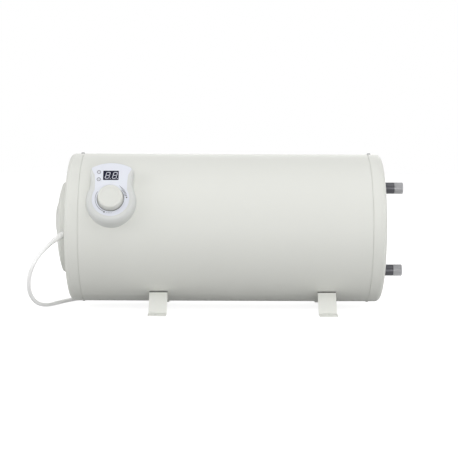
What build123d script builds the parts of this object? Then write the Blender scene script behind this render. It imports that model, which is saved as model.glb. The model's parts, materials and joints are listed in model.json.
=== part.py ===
from build123d import *
import math
import os

# A small electric water heater for a caravan: a lying cylinder of painted steel sheet on two
# strap feet, with a control panel on its upper front, water pipes on its right end and the
# mains side behind a moulded cover on its left end. Lengths are in millimetres.
# X runs along the tank to the pipes, -Y faces the user and +Z is up. The origin lies on the
# floor, in the middle of the four holes in the feet.

# Casing
tank_radius = 125.0
shell_sheet = 0.8
shell_length = 476.0
seam_gap = 0.7
cap_depth = 23.0
cap_corner = 8.0
lip_length = 10.0
lip_fit = 0.15
joggle_length = 2.0
cap_screw_setback = 4.0
cap_screw_shank_radius = 1.7
cap_screw_shank_length = 7.0
cap_screw_head_radius = 3.6
cap_screw_head_height = 2.0
cap_screw_angles = (90, -90, 180)
hole_clearance = 0.3
overrun = 2.0

# Feet
foot_spacing = 278.0
foot_offset = 28.5
foot_width = 30.0
foot_sheet = 2.0
foot_fit = 0.1
foot_hug_angle = 37.0
floor_gap = 9.0
leg_reach = 105.0
flange_length = 26.0
foot_bend = 1.5
floor_hole_radius = 3.25
rivet_angle = 20.0
rivet_radius = 2.0
rivet_head_radius = 4.0
rivet_head_height = 1.4
rivet_tail = 0.6

# Water tank and insulation
barrel_radius = 91.0
barrel_length = 360.0
barrel_shift = 19.0
vessel_sheet = 1.2
vessel_fit = 0.05
dome_depth = 28.0
dome_skirt = 8.0
foam_radius = 122.9
foam_fit = 0.3
foam_left_margin = 46.0
foam_right_margin = 25.0
foam_pit_radius = 64.0

# Water pipes
pipe_spacing = 140.0
pipe_drop = 2.0
pipe_radius = 9.8
pipe_bore_radius = 7.5
pipe_stub = 40.0
thread_radius = 10.4775
thread_length = 15.0
thread_chamfer = 1.0
pipe_inner_reach = 9.0
pipe_fit = 0.4
deflector_wall = 1.2
deflector_length = 24.0
deflector_slot = 6.0

# Heater flange on the left dome
neck_radius = 50.0
neck_wall = 10.0
neck_stand = 11.0
gasket_thickness = 2.0
flange_thickness = 4.0
flange_bolt_count = 6
flange_bolt_circle = 45.0
flange_bolt_radius = 3.0
flange_bolt_head_radius = 5.7
flange_bolt_head_height = 4.0
flange_bolt_length = 18.0
element_tube_radius = 4.0
element_half_spacing = 12.0
element_drop = 10.0
element_length = 280.0
element_bend_share = 0.96
element_tail = 5.0
terminal_stud_radius = 2.0
terminal_stud_length = 9.0
terminal_bead_radius = 3.2
terminal_bead_length = 4.0
pocket_radius = 5.0
pocket_wall = 0.7
pocket_length = 210.0
pocket_rise = 18.0
pocket_rim_radius = 7.0
pocket_rim_height = 1.5
sensor_radius = 3.0
sensor_length = 60.0
sensor_lead_radius = 1.5
anode_radius = 10.0
anode_length = 180.0
anode_rise = 3.0
anode_side = 24.0
anode_stud_radius = 4.0
anode_stud_length = 12.0
anode_nut_radius = 6.5
anode_nut_height = 5.0

# Left cap opening and its moulded cover
opening_radius = 54.0
opening_hem = 3.0
cover_radius = 78.0
cover_draft = 1.5
cover_rim_height = 14.0
cover_crown_height = 23.0
cover_wall = 2.5
cover_round = 4.0
cover_crown_share = 0.6
cover_crown_rise_share = 0.76
plateau_height = 26.0
plateau_root_radius = 47.0
plateau_top_radius = 21.0
plateau_root_height = 17.0
plateau_rise = 12.0
plateau_round = 3.0
cover_post_circle = 60.0
cover_post_radius = 4.8
cover_post_angles = (30, 150, 270)
cover_screw_radius = 2.0
cover_screw_head_radius = 3.8
cover_screw_head_height = 2.4
cover_screw_seat_height = 12.0
cover_screw_bite = 6.0

# Electrical bracket behind the cover
bracket_sheet = 1.5
bracket_depth = 21.5
bracket_width = 70.0
bracket_height = 86.0
bracket_leg_width = 26.0
bracket_foot = 12.0
bracket_screw_radius = 2.0
bracket_screw_head_radius = 3.5
bracket_screw_head_height = 2.2
block_width = 46.0
block_height = 18.0
block_depth = 15.0
block_drop = 25.0
block_way_radius = 2.2
block_way_count = 3
block_way_pitch = 13.0
terminal_screw_radius = 2.0
terminal_screw_height = 3.0
cutout_width = 36.0
cutout_height = 34.0
cutout_depth = 17.0
cutout_rise = 16.0
button_radius = 4.0
button_length = 7.0
button_stand = 3.5
button_travel = 2.0
button_fit = 0.06
button_round = 0.6
button_spare = 0.5
earth_side = 28.0
earth_rise = 5.0
earth_radius = 2.0
earth_length = 12.0
earth_nut_radius = 4.0
earth_nut_height = 3.0

# Control panel, in its own frame: u along the tank, v up the slope, height from the tank axis
panel_shift = -184.5
panel_tilt = 27.0
panel_height = 14.5
panel_root_depth = 20.0
panel_seat = 0.1
panel_wall = 2.5
panel_swell = 4.0
panel_brow = 3.5
bulb_radius = 40.6
knob_drop = 8.5
head_half_width = 35.2
head_corner_rise = 45.0
head_top_rise = 55.5
head_corner_round = 7.0
face_bulb_radius = 33.0
brow_bulb_radius = 37.5
face_margin = 0.3
label_thickness = 0.5
label_fit = 0.1
label_radius = 30.1
label_neck_half_width = 26.0
label_neck_rise = 22.0
label_shoulder_half_width = 27.0
label_shoulder_rise = 33.5
label_head_half_width = 33.2
label_head_corner_rise = 45.0
label_head_top_rise = 54.2
label_corner_round = 3.0
well_radius = 21.3
well_depth = 2.0
well_floor = 2.5
window_width = 25.2
window_height = 16.6
window_shift = -0.8
window_rise = 32.5
window_thickness = 1.5
window_fit = 0.1
window_corner = 1.0
digits_fit = 0.3
lamp_shift = -20.2
lamp_rises = (38.3, 25.5)
lamp_radius = 2.5
lamp_collar_radius = 2.9
lamp_collar_height = 1.0
lamp_fit = 0.1
board_gap = 2.2
board_thickness = 1.6
board_margin = 1.5
panel_post_radius = 3.5
panel_post_places = ((25.5, -22.5), (-25.5, -22.5), (28.5, 43.0), (-28.5, 43.0))
panel_screw_radius = 1.5
panel_screw_head_radius = 2.9
panel_screw_head_height = 1.3
panel_screw_length = 9.0
board_post_radius = 3.0
board_post_places = ((26.0, 9.0), (-26.0, 9.0))
board_screw_radius = 1.1
board_screw_head_radius = 2.2
board_screw_head_height = 1.1
board_screw_length = 6.0
pot_radius = 8.0
bushing_radius = 3.4
bushing_stand = 1.8
pot_nut_radius = 5.5
pot_nut_height = 1.6
shaft_radius = 3.0
shaft_fit = 0.05
shaft_end_gap = 0.3
knob_radius = 20.3
knob_draft = 0.6
knob_height = 13.0
knob_gap = 0.3
knob_wall = 2.0
knob_top = 2.5
knob_round = 2.2
knob_dish_radius = 14.5
knob_dish_depth = 0.5
knob_boss_radius = 5.2
knob_boss_gap = 0.7
knob_bore_fit = 0.02
knob_shaft_bite = 7.0
harness_radius = 2.5
harness_rise = 20.0
harness_hole_radius = 5.0
harness_grommet_wall = 1.2
harness_grommet_lip = 1.4
harness_depth = 10.0
harness_clearance = 1.0
harness_bend = 6.0
harness_end_front = 30.0

# Mains cord: 7 mm flex on the floor beside and behind the tank
cord_radius = 3.5
cord_hole_rise = -7.0
cord_hole_out = 8.5
cord_points = (
    (-323.0, -113.2, 108.5),
    (-343.0, -124.0, 76.0),
    (-350.0, -108.0, 40.0),
    (-343.0, -72.0, 13.0),
    (-330.0, -32.0, 3.6),
    (-315.0, 7.0, 3.6),
    (-297.0, 44.0, 3.6),
    (-275.0, 76.0, 3.6),
    (-246.0, 96.0, 4.7),
    (-212.0, 101.0, 4.7),
)
cord_bend_share = 0.45
coil_radius = 49.0
coil_pitch = 7.6
coil_turns = 4.5
coil_tail = 20.0
sleeve_radius = 4.9
sleeve_tip_radius = 3.95
sleeve_inner = 5.0
sleeve_outer = 6.0
sleeve_taper = 18.0
sleeve_bore_fit = 0.06
sleeve_hole_fit = 0.5
tail_elbow = 9.0
tail_end_front = 48.0
clamp_front = 59.0
clamp_length = 8.0
clamp_width = 27.0
clamp_height = 10.0
clamp_corner = 3.0
clamp_screw_spread = 9.5
clamp_screw_radius = 1.7
clamp_screw_head_radius = 3.0
clamp_screw_head_height = 1.8
clamp_screw_bite = 5.0
lead_radius = 1.2
lead_spread = 2.0
lead_bend = 4.0
tie_sheet = 0.9
tie_width = 14.0
tie_fit = 0.3
tie_slack = 1.2
plug_length = 40.0
plug_width = 32.0
plug_waist = 15.0
plug_swell = 1.0
plug_face_width = 34.0
plug_face_height = 21.0
plug_face_thickness = 6.0
pin_width = 6.3
pin_thickness = 1.6
pin_length = 17.0
pin_side = 6.9
pin_rise = 3.5
pin_slant = 30
earth_pin_turn = 90
earth_pin_drop = 5.5

# Places that follow from those sizes
half_shell = shell_length / 2
cap_face = half_shell + cap_depth
shell_inner = tank_radius - shell_sheet
lip_radius = shell_inner - lip_fit
axis_height = tank_radius + floor_gap
barrel_left = barrel_length / 2 - barrel_shift
barrel_right = barrel_length / 2 + barrel_shift
vessel_inner = barrel_radius - vessel_sheet
neck_level = barrel_left + dome_depth + neck_stand - cap_face
plate_level = neck_level + gasket_thickness
plate_top = plate_level + flange_thickness
bracket_top = -bracket_depth
bracket_under = bracket_top - bracket_sheet
bracket_leg = bracket_height / 2
block_top = bracket_top + block_depth
cutout_top = bracket_top + cutout_depth
panel_face = tank_radius + panel_height
panel_ceiling = panel_face - panel_wall
board_under = tank_radius + board_gap
board_top = board_under + board_thickness
well_level = panel_face - well_depth
well_under = well_level - well_floor
knob_base = well_level + knob_gap
knob_face = knob_base + knob_height
shaft_low = board_top + board_thickness + shaft_end_gap
bushing_top = well_level + bushing_stand
boss_base = bushing_top + knob_boss_gap
pipe_start = barrel_right - pipe_inner_reach
pipe_end = cap_face + pipe_stub
pipe_rises = (pipe_spacing / 2 - pipe_drop, -pipe_spacing / 2 - pipe_drop)
foot_inner = tank_radius + foot_fit
foot_outer = foot_inner + foot_sheet
foot_places = (foot_offset - foot_spacing / 2, foot_offset + foot_spacing / 2)

# Frames: the tank's middle, its axis, its left end (front, up, out) and its feet
on_tank = Pos(-foot_offset, 0, axis_height)
along = on_tank * Plane(origin=(0, 0, 0), x_dir=(0, 1, 0), z_dir=(1, 0, 0)).location
right_seam = along * Pos(0, 0, half_shell)
left_end = on_tank * Plane(origin=(-cap_face, 0, 0), x_dir=(0, -1, 0), z_dir=(-1, 0, 0)).location
left_seam = left_end * Pos(0, 0, -cap_depth)


def outward(x, angle):
    """A place on the tank axis whose Z points away from it, that many degrees above the front."""
    turn = math.radians(angle)
    direction = (0, -math.cos(turn), math.sin(turn))
    return on_tank * Plane(origin=(x, 0, 0), x_dir=(1, 0, 0), z_dir=direction).location


panel = outward(panel_shift, panel_tilt)
knob_place = panel * Pos(0, -knob_drop, 0)


def rod(radius, low, high, u=0, v=0):
    """A round bar along Z."""
    return Pos(u, v, (low + high) / 2) * Cylinder(radius, high - low)


def tube(outer, inner, low, high, u=0, v=0):
    """A round pipe along Z."""
    return rod(outer, low, high, u, v) - rod(inner, low, high, u, v)


def slab(width, height, low, high, u=0, v=0):
    """A block along Z."""
    return Pos(u, v, (low + high) / 2) * Box(width, height, high - low)


def lathe(*corners):
    """A solid turned about Z from the corners (radius, height) of its half section."""
    return revolve(Plane.XZ * make_face(Polyline(*corners, close=True)), axis=Axis.Z)


def dome_form(radius, depth):
    """A solid shallow dome standing on the plane Z = 0."""
    ball = (radius**2 + depth**2) / (2 * depth)
    half = math.asin(radius / ball) / 2
    middle = (ball * math.sin(half), depth - ball + ball * math.cos(half))
    arc = ThreePointArc((radius, 0), middle, (0, depth))
    section = make_face(arc + Line((0, depth), (0, 0)) + Line((0, 0), (radius, 0)))
    return revolve(Plane.XZ * section, axis=Axis.Z)


def corner(face, x, y):
    """The vertex of a flat outline that lies nearest to a point."""
    return face.vertices().sort_by_distance((x, y))[0]


def wire(points, radius, bends):
    """A round wire through points, with arcs of the given radii at its corners."""
    path = FilletPolyline(*points, radius=bends)
    return sweep(Plane(origin=path @ 0, z_dir=path % 0) * Circle(radius), path=path)


def screw(place, shank, low, seat, head, height):
    """A round-headed screw along Z: its head stands on the seat."""
    body = rod(shank, low, seat) + rod(head, seat, seat + height)
    crown = body.edges().filter_by(GeomType.CIRCLE).sort_by(Axis.Z)[-1]
    return place * fillet(crown, height / 2)


def group(solids):
    """Separate solids that share one node."""
    return Compound(children=[s.solid() for s in solids])


def keep(name, shape):
    """Writes one piece to its own file."""
    export_step(shape, f"parts/{name}.step")


def cap_screw_places():
    """The screws of the left cap and of the right cap, in the skirts beside the seams."""
    reach = half_shell + cap_screw_setback
    return [[outward(side * reach, angle) for angle in cap_screw_angles] for side in (-1, 1)]


def foot_rivet_places():
    """Two rivets through the saddle of each foot."""
    angles = (rivet_angle - 90, -rivet_angle - 90)
    return [outward(x, angle) for x in foot_places for angle in angles]


def panel_screw_seat(v):
    """Where a panel screw's head meets the inside of the casing."""
    return math.sqrt(shell_inner**2 - (abs(v) + panel_screw_head_radius) ** 2) - hole_clearance


def outer_shell():
    """The casing's rolled sheet, with a stepped lip at each end that enters the caps."""
    inner = lip_radius - shell_sheet
    step = half_shell - joggle_length
    end = half_shell + lip_length
    right = [(tank_radius, half_shell), (lip_radius, half_shell), (lip_radius, end)]
    right += [(inner, end), (inner, step), (shell_inner, step)]
    left = [(r, -z) for r, z in reversed(right)]
    shell = along * lathe(*right, *left)
    for place in cap_screw_places()[0] + cap_screw_places()[1]:
        shell -= place * rod(cap_screw_shank_radius + hole_clearance, foam_radius, tank_radius)
    for place in foot_rivet_places():
        shell -= place * rod(rivet_radius + lip_fit, foam_radius, tank_radius + overrun)
    for u, v in panel_post_places:
        shell -= panel * rod(panel_screw_radius + hole_clearance, tank_radius / 2, tank_radius, u, v)
    low = math.sqrt(shell_inner**2 - (harness_rise + harness_hole_radius) ** 2) - overrun
    return shell - panel * rod(harness_hole_radius, low, tank_radius, 0, harness_rise)


def cap_form(inset, low):
    """The solid inside a pressed end cap's outline, drawn in by inset."""
    form = rod(tank_radius - inset, low, cap_depth - inset)
    rim = form.edges().filter_by(GeomType.CIRCLE).sort_by(Axis.Z)[-1]
    return fillet(rim, cap_corner - inset)


def end_cap(place, screws):
    """A pressed cap whose skirt slides over the casing's lip."""
    cap = place * (cap_form(0, seam_gap) - cap_form(shell_sheet, 0))
    for at in screws:
        cap -= at * rod(cap_screw_shank_radius + lip_fit, foam_radius, tank_radius + overrun)
    return cap


def left_end_cap():
    """The cap on the mains side, open in the middle, with a hemmed edge."""
    cap = end_cap(left_seam, cap_screw_places()[0])
    cap -= left_end * rod(opening_radius + shell_sheet, -overrun, overrun)
    cap += left_end * tube(opening_radius + shell_sheet, opening_radius, -opening_hem, 0)
    for u, v in cover_screw_spots():
        cap -= left_end * rod(cover_screw_radius + lip_fit, -overrun, overrun, u, v)
    for u, v in clamp_screw_spots():
        cap -= left_end * rod(clamp_screw_radius + lip_fit, -overrun, overrun, u, v)
    return cap


def right_end_cap():
    """The cap on the water side, with a hole for each pipe."""
    cap = end_cap(right_seam, cap_screw_places()[1])
    for rise in pipe_rises:
        hole = rod(pipe_radius + pipe_fit, cap_face - cap_depth / 2, cap_face + overrun, 0, rise)
        cap -= along * hole
    return cap


def cap_screws(places):
    """The screws through one cap's skirt into the casing's lip."""
    low = tank_radius - cap_screw_shank_length
    sizes = (cap_screw_shank_radius, low, tank_radius)
    return group(
        screw(at, *sizes, cap_screw_head_radius, cap_screw_head_height) for at in places
    )


def foot(x):
    """One bent strap: a flange on the floor, a leg, a saddle under the tank and the same again."""
    turn = math.radians(foot_hug_angle)
    floor = -axis_height
    fold = Vector(foot_inner * math.sin(turn), -foot_inner * math.cos(turn))
    bend = Vector(leg_reach, floor + foot_sheet)
    run = (bend - fold).normalized()
    inward = Vector(run.Y, -run.X) * foot_sheet
    drop = (floor - fold.Y - inward.Y) / run.Y
    heel = fold + inward + run * drop
    leg = make_face(Polyline(fold, bend, (bend.X, floor), heel, fold + inward, close=True))
    toe = leg_reach + flange_length
    flange = make_face(Polyline(heel, (toe, floor), (toe, bend.Y), bend, close=True))
    sector = make_face(Polyline((0, 0), (0, floor), (-floor * math.tan(turn), floor), close=True))
    saddle = (Circle(foot_outer) - Circle(foot_inner)) & sector
    half = saddle + leg + flange
    half = fillet(corner(half, heel.X, heel.Y), foot_bend + foot_sheet)
    half = fillet(corner(half, bend.X, bend.Y), foot_bend)
    half = fillet(corner(half, fold.X, fold.Y), foot_bend)
    strap = extrude(half + mirror(half, about=Plane.YZ), amount=foot_width)
    place = Plane(origin=(x + foot_width / 2, 0, 0), x_dir=(0, -1, 0), z_dir=(-1, 0, 0))
    strap = on_tank * place.location * strap
    for angle in (rivet_angle - 90, -rivet_angle - 90):
        strap -= outward(x, angle) * rod(rivet_radius + lip_fit, tank_radius, foot_outer + overrun)
    reach = leg_reach + flange_length / 2
    for y in (-reach, reach):
        strap -= Pos(x - foot_offset, y, 0) * rod(floor_hole_radius, -overrun, foot_sheet + overrun)
    return strap


def foot_rivets():
    """Blind rivets that hold the saddles to the casing."""
    solids = []
    for place in foot_rivet_places():
        low = shell_inner - rivet_tail
        solids.append(
            screw(place, rivet_radius, low, foot_outer, rivet_head_radius, rivet_head_height)
        )
    return group(solids)


def tank_barrel():
    """The water tank's rolled stainless wall."""
    return along * tube(barrel_radius, vessel_inner, -barrel_left, barrel_right)


def dome_shell():
    """A pressed dome with a skirt that enters the barrel, not yet pierced."""
    rim = vessel_inner - vessel_fit
    inner = rim - vessel_sheet
    shell = dome_form(rim, dome_depth) - dome_form(inner, dome_depth - vessel_sheet)
    return shell + tube(rim, inner, -dome_skirt, 0)


def tank_dome_left():
    """The tank's left end, open at its neck."""
    place = left_end * Pos(0, 0, barrel_left - cap_face)
    return place * (dome_shell() - rod(neck_radius - neck_wall, 0, dome_depth + overrun))


def tank_dome_right():
    """The tank's right end, with a hole for each pipe."""
    shell = dome_shell()
    for rise in pipe_rises:
        shell -= rod(pipe_radius + vessel_fit, -dome_skirt, dome_depth + overrun, 0, rise)
    return along * Pos(0, 0, barrel_right) * shell


def tank_neck():
    """The ring welded to the left dome, which carries the heater flange."""
    low = barrel_left - cap_face
    ring = tube(neck_radius, neck_radius - neck_wall, low, neck_level)
    ring -= Pos(0, 0, low) * dome_form(vessel_inner - vessel_fit, dome_depth)
    for u, v in flange_bolt_spots():
        ring -= rod(flange_bolt_radius, plate_top - flange_bolt_length, neck_level, u, v)
    return left_end * ring


def foam_insulation():
    """Foam between the water tank and the casing."""
    left = cap_face - foam_left_margin
    foam = rod(foam_radius, -left, cap_face - foam_right_margin)
    hollow = barrel_radius + foam_fit
    foam -= rod(hollow, -barrel_left, barrel_right)
    dome = dome_form(hollow, dome_depth + foam_fit)
    foam -= Pos(0, 0, barrel_right) * dome
    foam -= Pos(0, 0, -barrel_left) * mirror(dome, about=Plane.XY)
    foam -= rod(neck_radius + foam_fit, -left, -barrel_left)
    foam -= rod(foam_pit_radius, -left, -cap_face - neck_level)
    for rise in pipe_rises:
        foam -= rod(pipe_radius + foam_fit, barrel_right, cap_face, 0, rise)
    foam = along * foam
    low = tank_radius - harness_depth - harness_radius - harness_clearance
    width = 2 * (harness_hole_radius + harness_clearance)
    end = -left - panel_shift - overrun
    groove = slab(width - end, width, low, tank_radius, (end + width) / 2, harness_rise)
    foam -= panel * groove
    for u, v in panel_post_places:
        seat = panel_screw_seat(v)
        wide = panel_screw_head_radius + hole_clearance
        pocket = rod(wide, seat - panel_screw_head_height - overrun / 2, tank_radius, u, v)
        foam -= panel * pocket
    return foam


def water_pipe(rise):
    """A stainless pipe from the tank to its threaded tip; the thread is a plain crest cylinder."""
    stem = rod(pipe_radius, pipe_start, pipe_end - thread_length)
    tip = rod(thread_radius, pipe_end - thread_length, pipe_end)
    ends = tip.edges().filter_by(GeomType.CIRCLE).sort_by(Axis.Z)[-1]
    tip = chamfer(ends, thread_chamfer)
    pipe = stem + tip - rod(pipe_bore_radius, pipe_start, pipe_end)
    return along * Pos(0, rise, 0) * pipe


def inlet_deflector():
    """A slotted cup on the cold pipe's inner end, which spreads the water along the tank floor."""
    inner = pipe_radius + vessel_fit
    outer = inner + deflector_wall
    seat = pipe_start + pipe_inner_reach / 2
    low = seat - deflector_length
    cup = rod(outer, low, seat) - rod(inner, low + deflector_wall, seat)
    for turn in (0, 60, 120):
        slot_top = pipe_start - deflector_wall
        slot = slab(2 * tank_radius, deflector_wall * 2, slot_top - deflector_slot, slot_top)
        cup -= Rot(0, 0, turn) * slot
    return along * Pos(0, pipe_rises[1], 0) * cup


def flange_bolt_spots():
    """The bolts round the heater flange."""
    turns = [2 * math.pi * i / flange_bolt_count for i in range(flange_bolt_count)]
    return [(flange_bolt_circle * math.cos(t), flange_bolt_circle * math.sin(t)) for t in turns]


def bracket_screw_spots():
    """The two screws that hold the bracket's feet."""
    rise = bracket_leg - bracket_foot / 2
    return [(0, rise), (0, -rise)]


def element_spots():
    """Where the heating element's two legs pass the flange."""
    return [(element_half_spacing, -element_drop), (-element_half_spacing, -element_drop)]


def flange_plate(low, high, holes):
    """A round plate on the neck with the flange's holes."""
    plate = rod(neck_radius, low, high)
    for u, v in flange_bolt_spots():
        plate -= rod(flange_bolt_radius + hole_clearance, low, high, u, v)
    for radius, u, v in holes:
        plate -= rod(radius, low, high, u, v)
    return left_end * plate


def element_gasket():
    """The rubber ring under the heater flange."""
    return flange_plate(neck_level, plate_level, [(neck_radius - neck_wall, 0, 0)])


def element_flange():
    """The steel plate that carries the heating element, the sensor pocket and the anode."""
    holes = [(element_tube_radius + vessel_fit, u, v) for u, v in element_spots()]
    holes += [(pocket_radius + vessel_fit, 0, pocket_rise)]
    holes += [(anode_stud_radius + vessel_fit, anode_side, anode_rise)]
    holes += [(bracket_screw_radius + vessel_fit, u, v) for u, v in bracket_screw_spots()]
    return flange_plate(plate_level, plate_top, holes)


def flange_bolts():
    """Hexagon-headed bolts through the flange and gasket into the neck."""
    solids = []
    for u, v in flange_bolt_spots():
        head = extrude(RegularPolygon(flange_bolt_head_radius, 6), amount=flange_bolt_head_height)
        shank = rod(flange_bolt_radius - vessel_fit, -flange_bolt_length, 0)
        solids.append(left_end * Pos(u, v, plate_top) * (head + shank))
    return group(solids)


def heating_element():
    """A hairpin of sheathed heating tube inside the water tank."""
    x, y = element_spots()[0]
    top = plate_top + element_tail
    deep = plate_top - element_length
    points = [(x, y, top), (x, y, deep), (-x, y, deep), (-x, y, top)]
    bends = element_half_spacing * element_bend_share
    return left_end * wire(points, element_tube_radius, bends)


def element_terminals():
    """The element's two terminal studs in their ceramic beads."""
    low = plate_top + element_tail
    bead = low + terminal_bead_length
    solids = []
    for u, v in element_spots():
        stud = rod(terminal_bead_radius, low, bead, u, v)
        stud += rod(terminal_stud_radius, bead, low + terminal_stud_length, u, v)
        solids.append(left_end * stud)
    return group(solids)


def sensor_pocket():
    """The closed tube in the water that holds the temperature sensor."""
    low = plate_top - pocket_length
    rim = plate_top + pocket_rim_height
    pocket = rod(pocket_radius, low, rim) + rod(pocket_rim_radius, plate_top, rim)
    pocket -= rod(pocket_radius - pocket_wall, low + pocket_wall, rim)
    return left_end * Pos(0, pocket_rise, 0) * pocket


def temperature_sensor():
    """The sensor at the bottom of its pocket, with the lead up to the thermal cut-out."""
    low = plate_top - pocket_length + 2 * pocket_wall
    probe = rod(sensor_radius, low, low + sensor_length)
    probe += rod(sensor_lead_radius, low + sensor_length, bracket_top)
    return left_end * Pos(0, pocket_rise, 0) * probe


def anode_rod():
    """The magnesium rod that protects the tank, on its stud with a nut outside."""
    low = plate_level - anode_length
    rod_and_stud = rod(anode_radius, low, plate_level - foam_fit)
    stud_top = plate_top + anode_stud_length
    rod_and_stud += rod(anode_stud_radius, plate_level - anode_stud_length, stud_top)
    nut = extrude(RegularPolygon(anode_nut_radius, 6), amount=anode_nut_height)
    rod_and_stud += Pos(0, 0, plate_top) * nut
    return left_end * Pos(anode_side, anode_rise, 0) * rod_and_stud


def compartment_bracket():
    """A folded steel bridge on the heater flange that carries the electrical pieces."""
    bridge = slab(bracket_width, bracket_height, bracket_under, bracket_top)
    for side in (-1, 1):
        leg_middle = side * (bracket_leg - bracket_sheet / 2)
        bridge += slab(bracket_leg_width, bracket_sheet, plate_top, bracket_top, 0, leg_middle)
        foot_middle = side * (bracket_leg - bracket_foot / 2)
        top = plate_top + bracket_sheet
        bridge += slab(bracket_leg_width, bracket_foot, plate_top, top, 0, foot_middle)
    for u, v in bracket_screw_spots():
        bridge -= rod(bracket_screw_radius + vessel_fit, plate_top, bracket_top, u, v)
    bridge -= rod(sensor_lead_radius + hole_clearance, bracket_under, bracket_top, 0, pocket_rise)
    for u in (block_way_pitch, -block_way_pitch):
        bridge -= rod(lead_radius + hole_clearance, bracket_under, bracket_top, u, -block_drop)
    bridge -= rod(earth_radius + lip_fit, bracket_under, bracket_top, earth_side, earth_rise)
    return left_end * bridge


def bracket_screws():
    """The screws in the bracket's feet."""
    seat = plate_top + bracket_sheet
    sizes = (bracket_screw_radius, plate_level, seat)
    places = [left_end * Pos(u, v, 0) for u, v in bracket_screw_spots()]
    heads = (bracket_screw_head_radius, bracket_screw_head_height)
    return group(screw(at, *sizes, *heads) for at in places)


def block_ways():
    """The middle of each way of the terminal block."""
    middle = (block_way_count - 1) / 2
    return [block_way_pitch * (i - middle) for i in range(block_way_count)]


def terminal_block():
    """The moulded block where the mains cord's cores end."""
    block = slab(block_width, block_height, bracket_top, block_top, 0, -block_drop)
    for u in block_ways():
        block -= rod(block_way_radius, bracket_top + block_depth / 2, block_top, u, -block_drop)
    return left_end * block


def terminal_screws():
    """The clamping screws along the terminal block's lower edge."""
    v = -block_drop - block_height / 2
    place = left_end * Plane(origin=(0, v, 0), x_dir=(1, 0, 0), z_dir=(0, -1, 0)).location
    level = bracket_top + block_depth / 2
    sizes = (terminal_screw_radius, 0, terminal_screw_height)
    solids = [place * rod(*sizes, u, level) for u in block_ways()]
    return group(solids)


def button_reach():
    """How deep the reset button's bore goes into the cut-out."""
    return cutout_top + button_stand - button_length


def cutout_body():
    """The thermal cut-out that opens the circuit if the tank overheats."""
    body = slab(cutout_width, cutout_height, bracket_top, cutout_top, 0, cutout_rise)
    low = button_reach() - button_travel - button_spare
    return left_end * (body - rod(button_radius + button_fit, low, cutout_top, 0, cutout_rise))


def reset_button():
    """The cut-out's spring-loaded reset button."""
    button = rod(button_radius, button_reach(), cutout_top + button_stand, 0, cutout_rise)
    rim = button.edges().filter_by(GeomType.CIRCLE).sort_by(Axis.Z)[-1]
    return left_end * fillet(rim, button_round)


def earth_stud():
    """The earth stud on the bracket, with its nut."""
    stud = rod(earth_radius, bracket_under, bracket_under + earth_length)
    stud += rod(earth_nut_radius, bracket_top, bracket_top + earth_nut_height)
    stud += rod(earth_nut_radius, bracket_under - earth_nut_height, bracket_under)
    return left_end * Pos(earth_side, earth_rise, 0) * stud


def element_leads():
    """The two leads from the element's studs to the terminal block."""
    low = plate_top + element_tail + terminal_stud_length
    solids = []
    for u, v in element_spots():
        side = math.copysign(block_way_pitch, u)
        middle = (low + bracket_under) / 2
        points = [(u, v, low), (u, v, middle), (side, -block_drop, middle)]
        points.append((side, -block_drop, bracket_top))
        solids.append(left_end * wire(points, lead_radius, lead_bend / 2))
    return group(solids)


def link_leads():
    """The two leads from the terminal block up to the thermal cut-out."""
    low = block_height / 2 - block_drop
    high = cutout_rise - cutout_height / 2
    place = left_end * Plane(origin=(0, 0, 0), x_dir=(1, 0, 0), z_dir=(0, 1, 0)).location
    level = bracket_top + block_depth / 2
    half = block_way_pitch / 2
    return group(place * rod(lead_radius, low, high, u, -level) for u in (-half, half))


def cover_screw_spots():
    """The three screws through the moulded cover."""
    turns = [math.radians(angle) for angle in cover_post_angles]
    return [(cover_post_circle * math.cos(t), cover_post_circle * math.sin(t)) for t in turns]


def cover_form(inset):
    """The solid inside the cover's outline, drawn in by inset: a low dome with a raised plateau."""
    foot_edge = cover_radius - inset
    shoulder = foot_edge - cover_draft
    crown = cover_crown_height - inset
    rim = cover_rim_height - inset
    rise = rim + (crown - rim) * cover_crown_rise_share
    arc = ThreePointArc((shoulder, rim), (shoulder * cover_crown_share, rise), (0, crown))
    sides = Polyline((0, crown), (0, 0), (foot_edge, 0), (shoulder, rim))
    section = make_face(arc + sides)
    section = fillet(corner(section, shoulder, rim), cover_round)
    form = revolve(Plane.XZ * section, axis=Axis.Z)
    low = plateau_root_height - inset
    high = plateau_height - inset
    hill = Cone(plateau_root_radius - inset, plateau_top_radius - inset, high - low)
    hill = Pos(0, plateau_rise, (low + high) / 2) * hill
    brow = hill.edges().filter_by(GeomType.CIRCLE).sort_by(Axis.Z)[-1]
    return form + fillet(brow, plateau_round)


def electrical_cover():
    """The moulded cover over the mains side, screwed to the left cap."""
    outside = cover_form(0)
    cover = outside - cover_form(cover_wall)
    for u, v in cover_screw_spots():
        cover += rod(cover_post_radius, 0, cover_screw_seat_height, u, v)
        cover += tube(cover_post_radius, cover_screw_head_radius, 0, cover_crown_height, u, v) & outside
        cover -= rod(cover_screw_radius + lip_fit, 0, cover_screw_seat_height, u, v)
        sink = cover_screw_head_radius + hole_clearance
        cover -= rod(sink, cover_screw_seat_height, plateau_height, u, v)
    cover = left_end * cover
    hole = rod(sleeve_radius + sleeve_hole_fit, -cover_rim_height, cover_rim_height)
    return cover - cord_frame() * hole


def cover_screws():
    """The screws at the bottom of the cover's posts."""
    sizes = (cover_screw_radius, -cover_screw_bite, cover_screw_seat_height)
    places = [left_end * Pos(u, v, 0) for u, v in cover_screw_spots()]
    heads = (cover_screw_head_radius, cover_screw_head_height)
    return group(screw(at, *sizes, *heads) for at in places)


def cord_exit():
    """The middle of the cord's hole in the cover's side wall."""
    wall = cover_radius - cover_draft * cord_hole_out / cover_rim_height
    front = math.sqrt(wall**2 - cord_hole_rise**2)
    return (left_end * Pos(front, cord_hole_rise, cord_hole_out)).position


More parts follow.
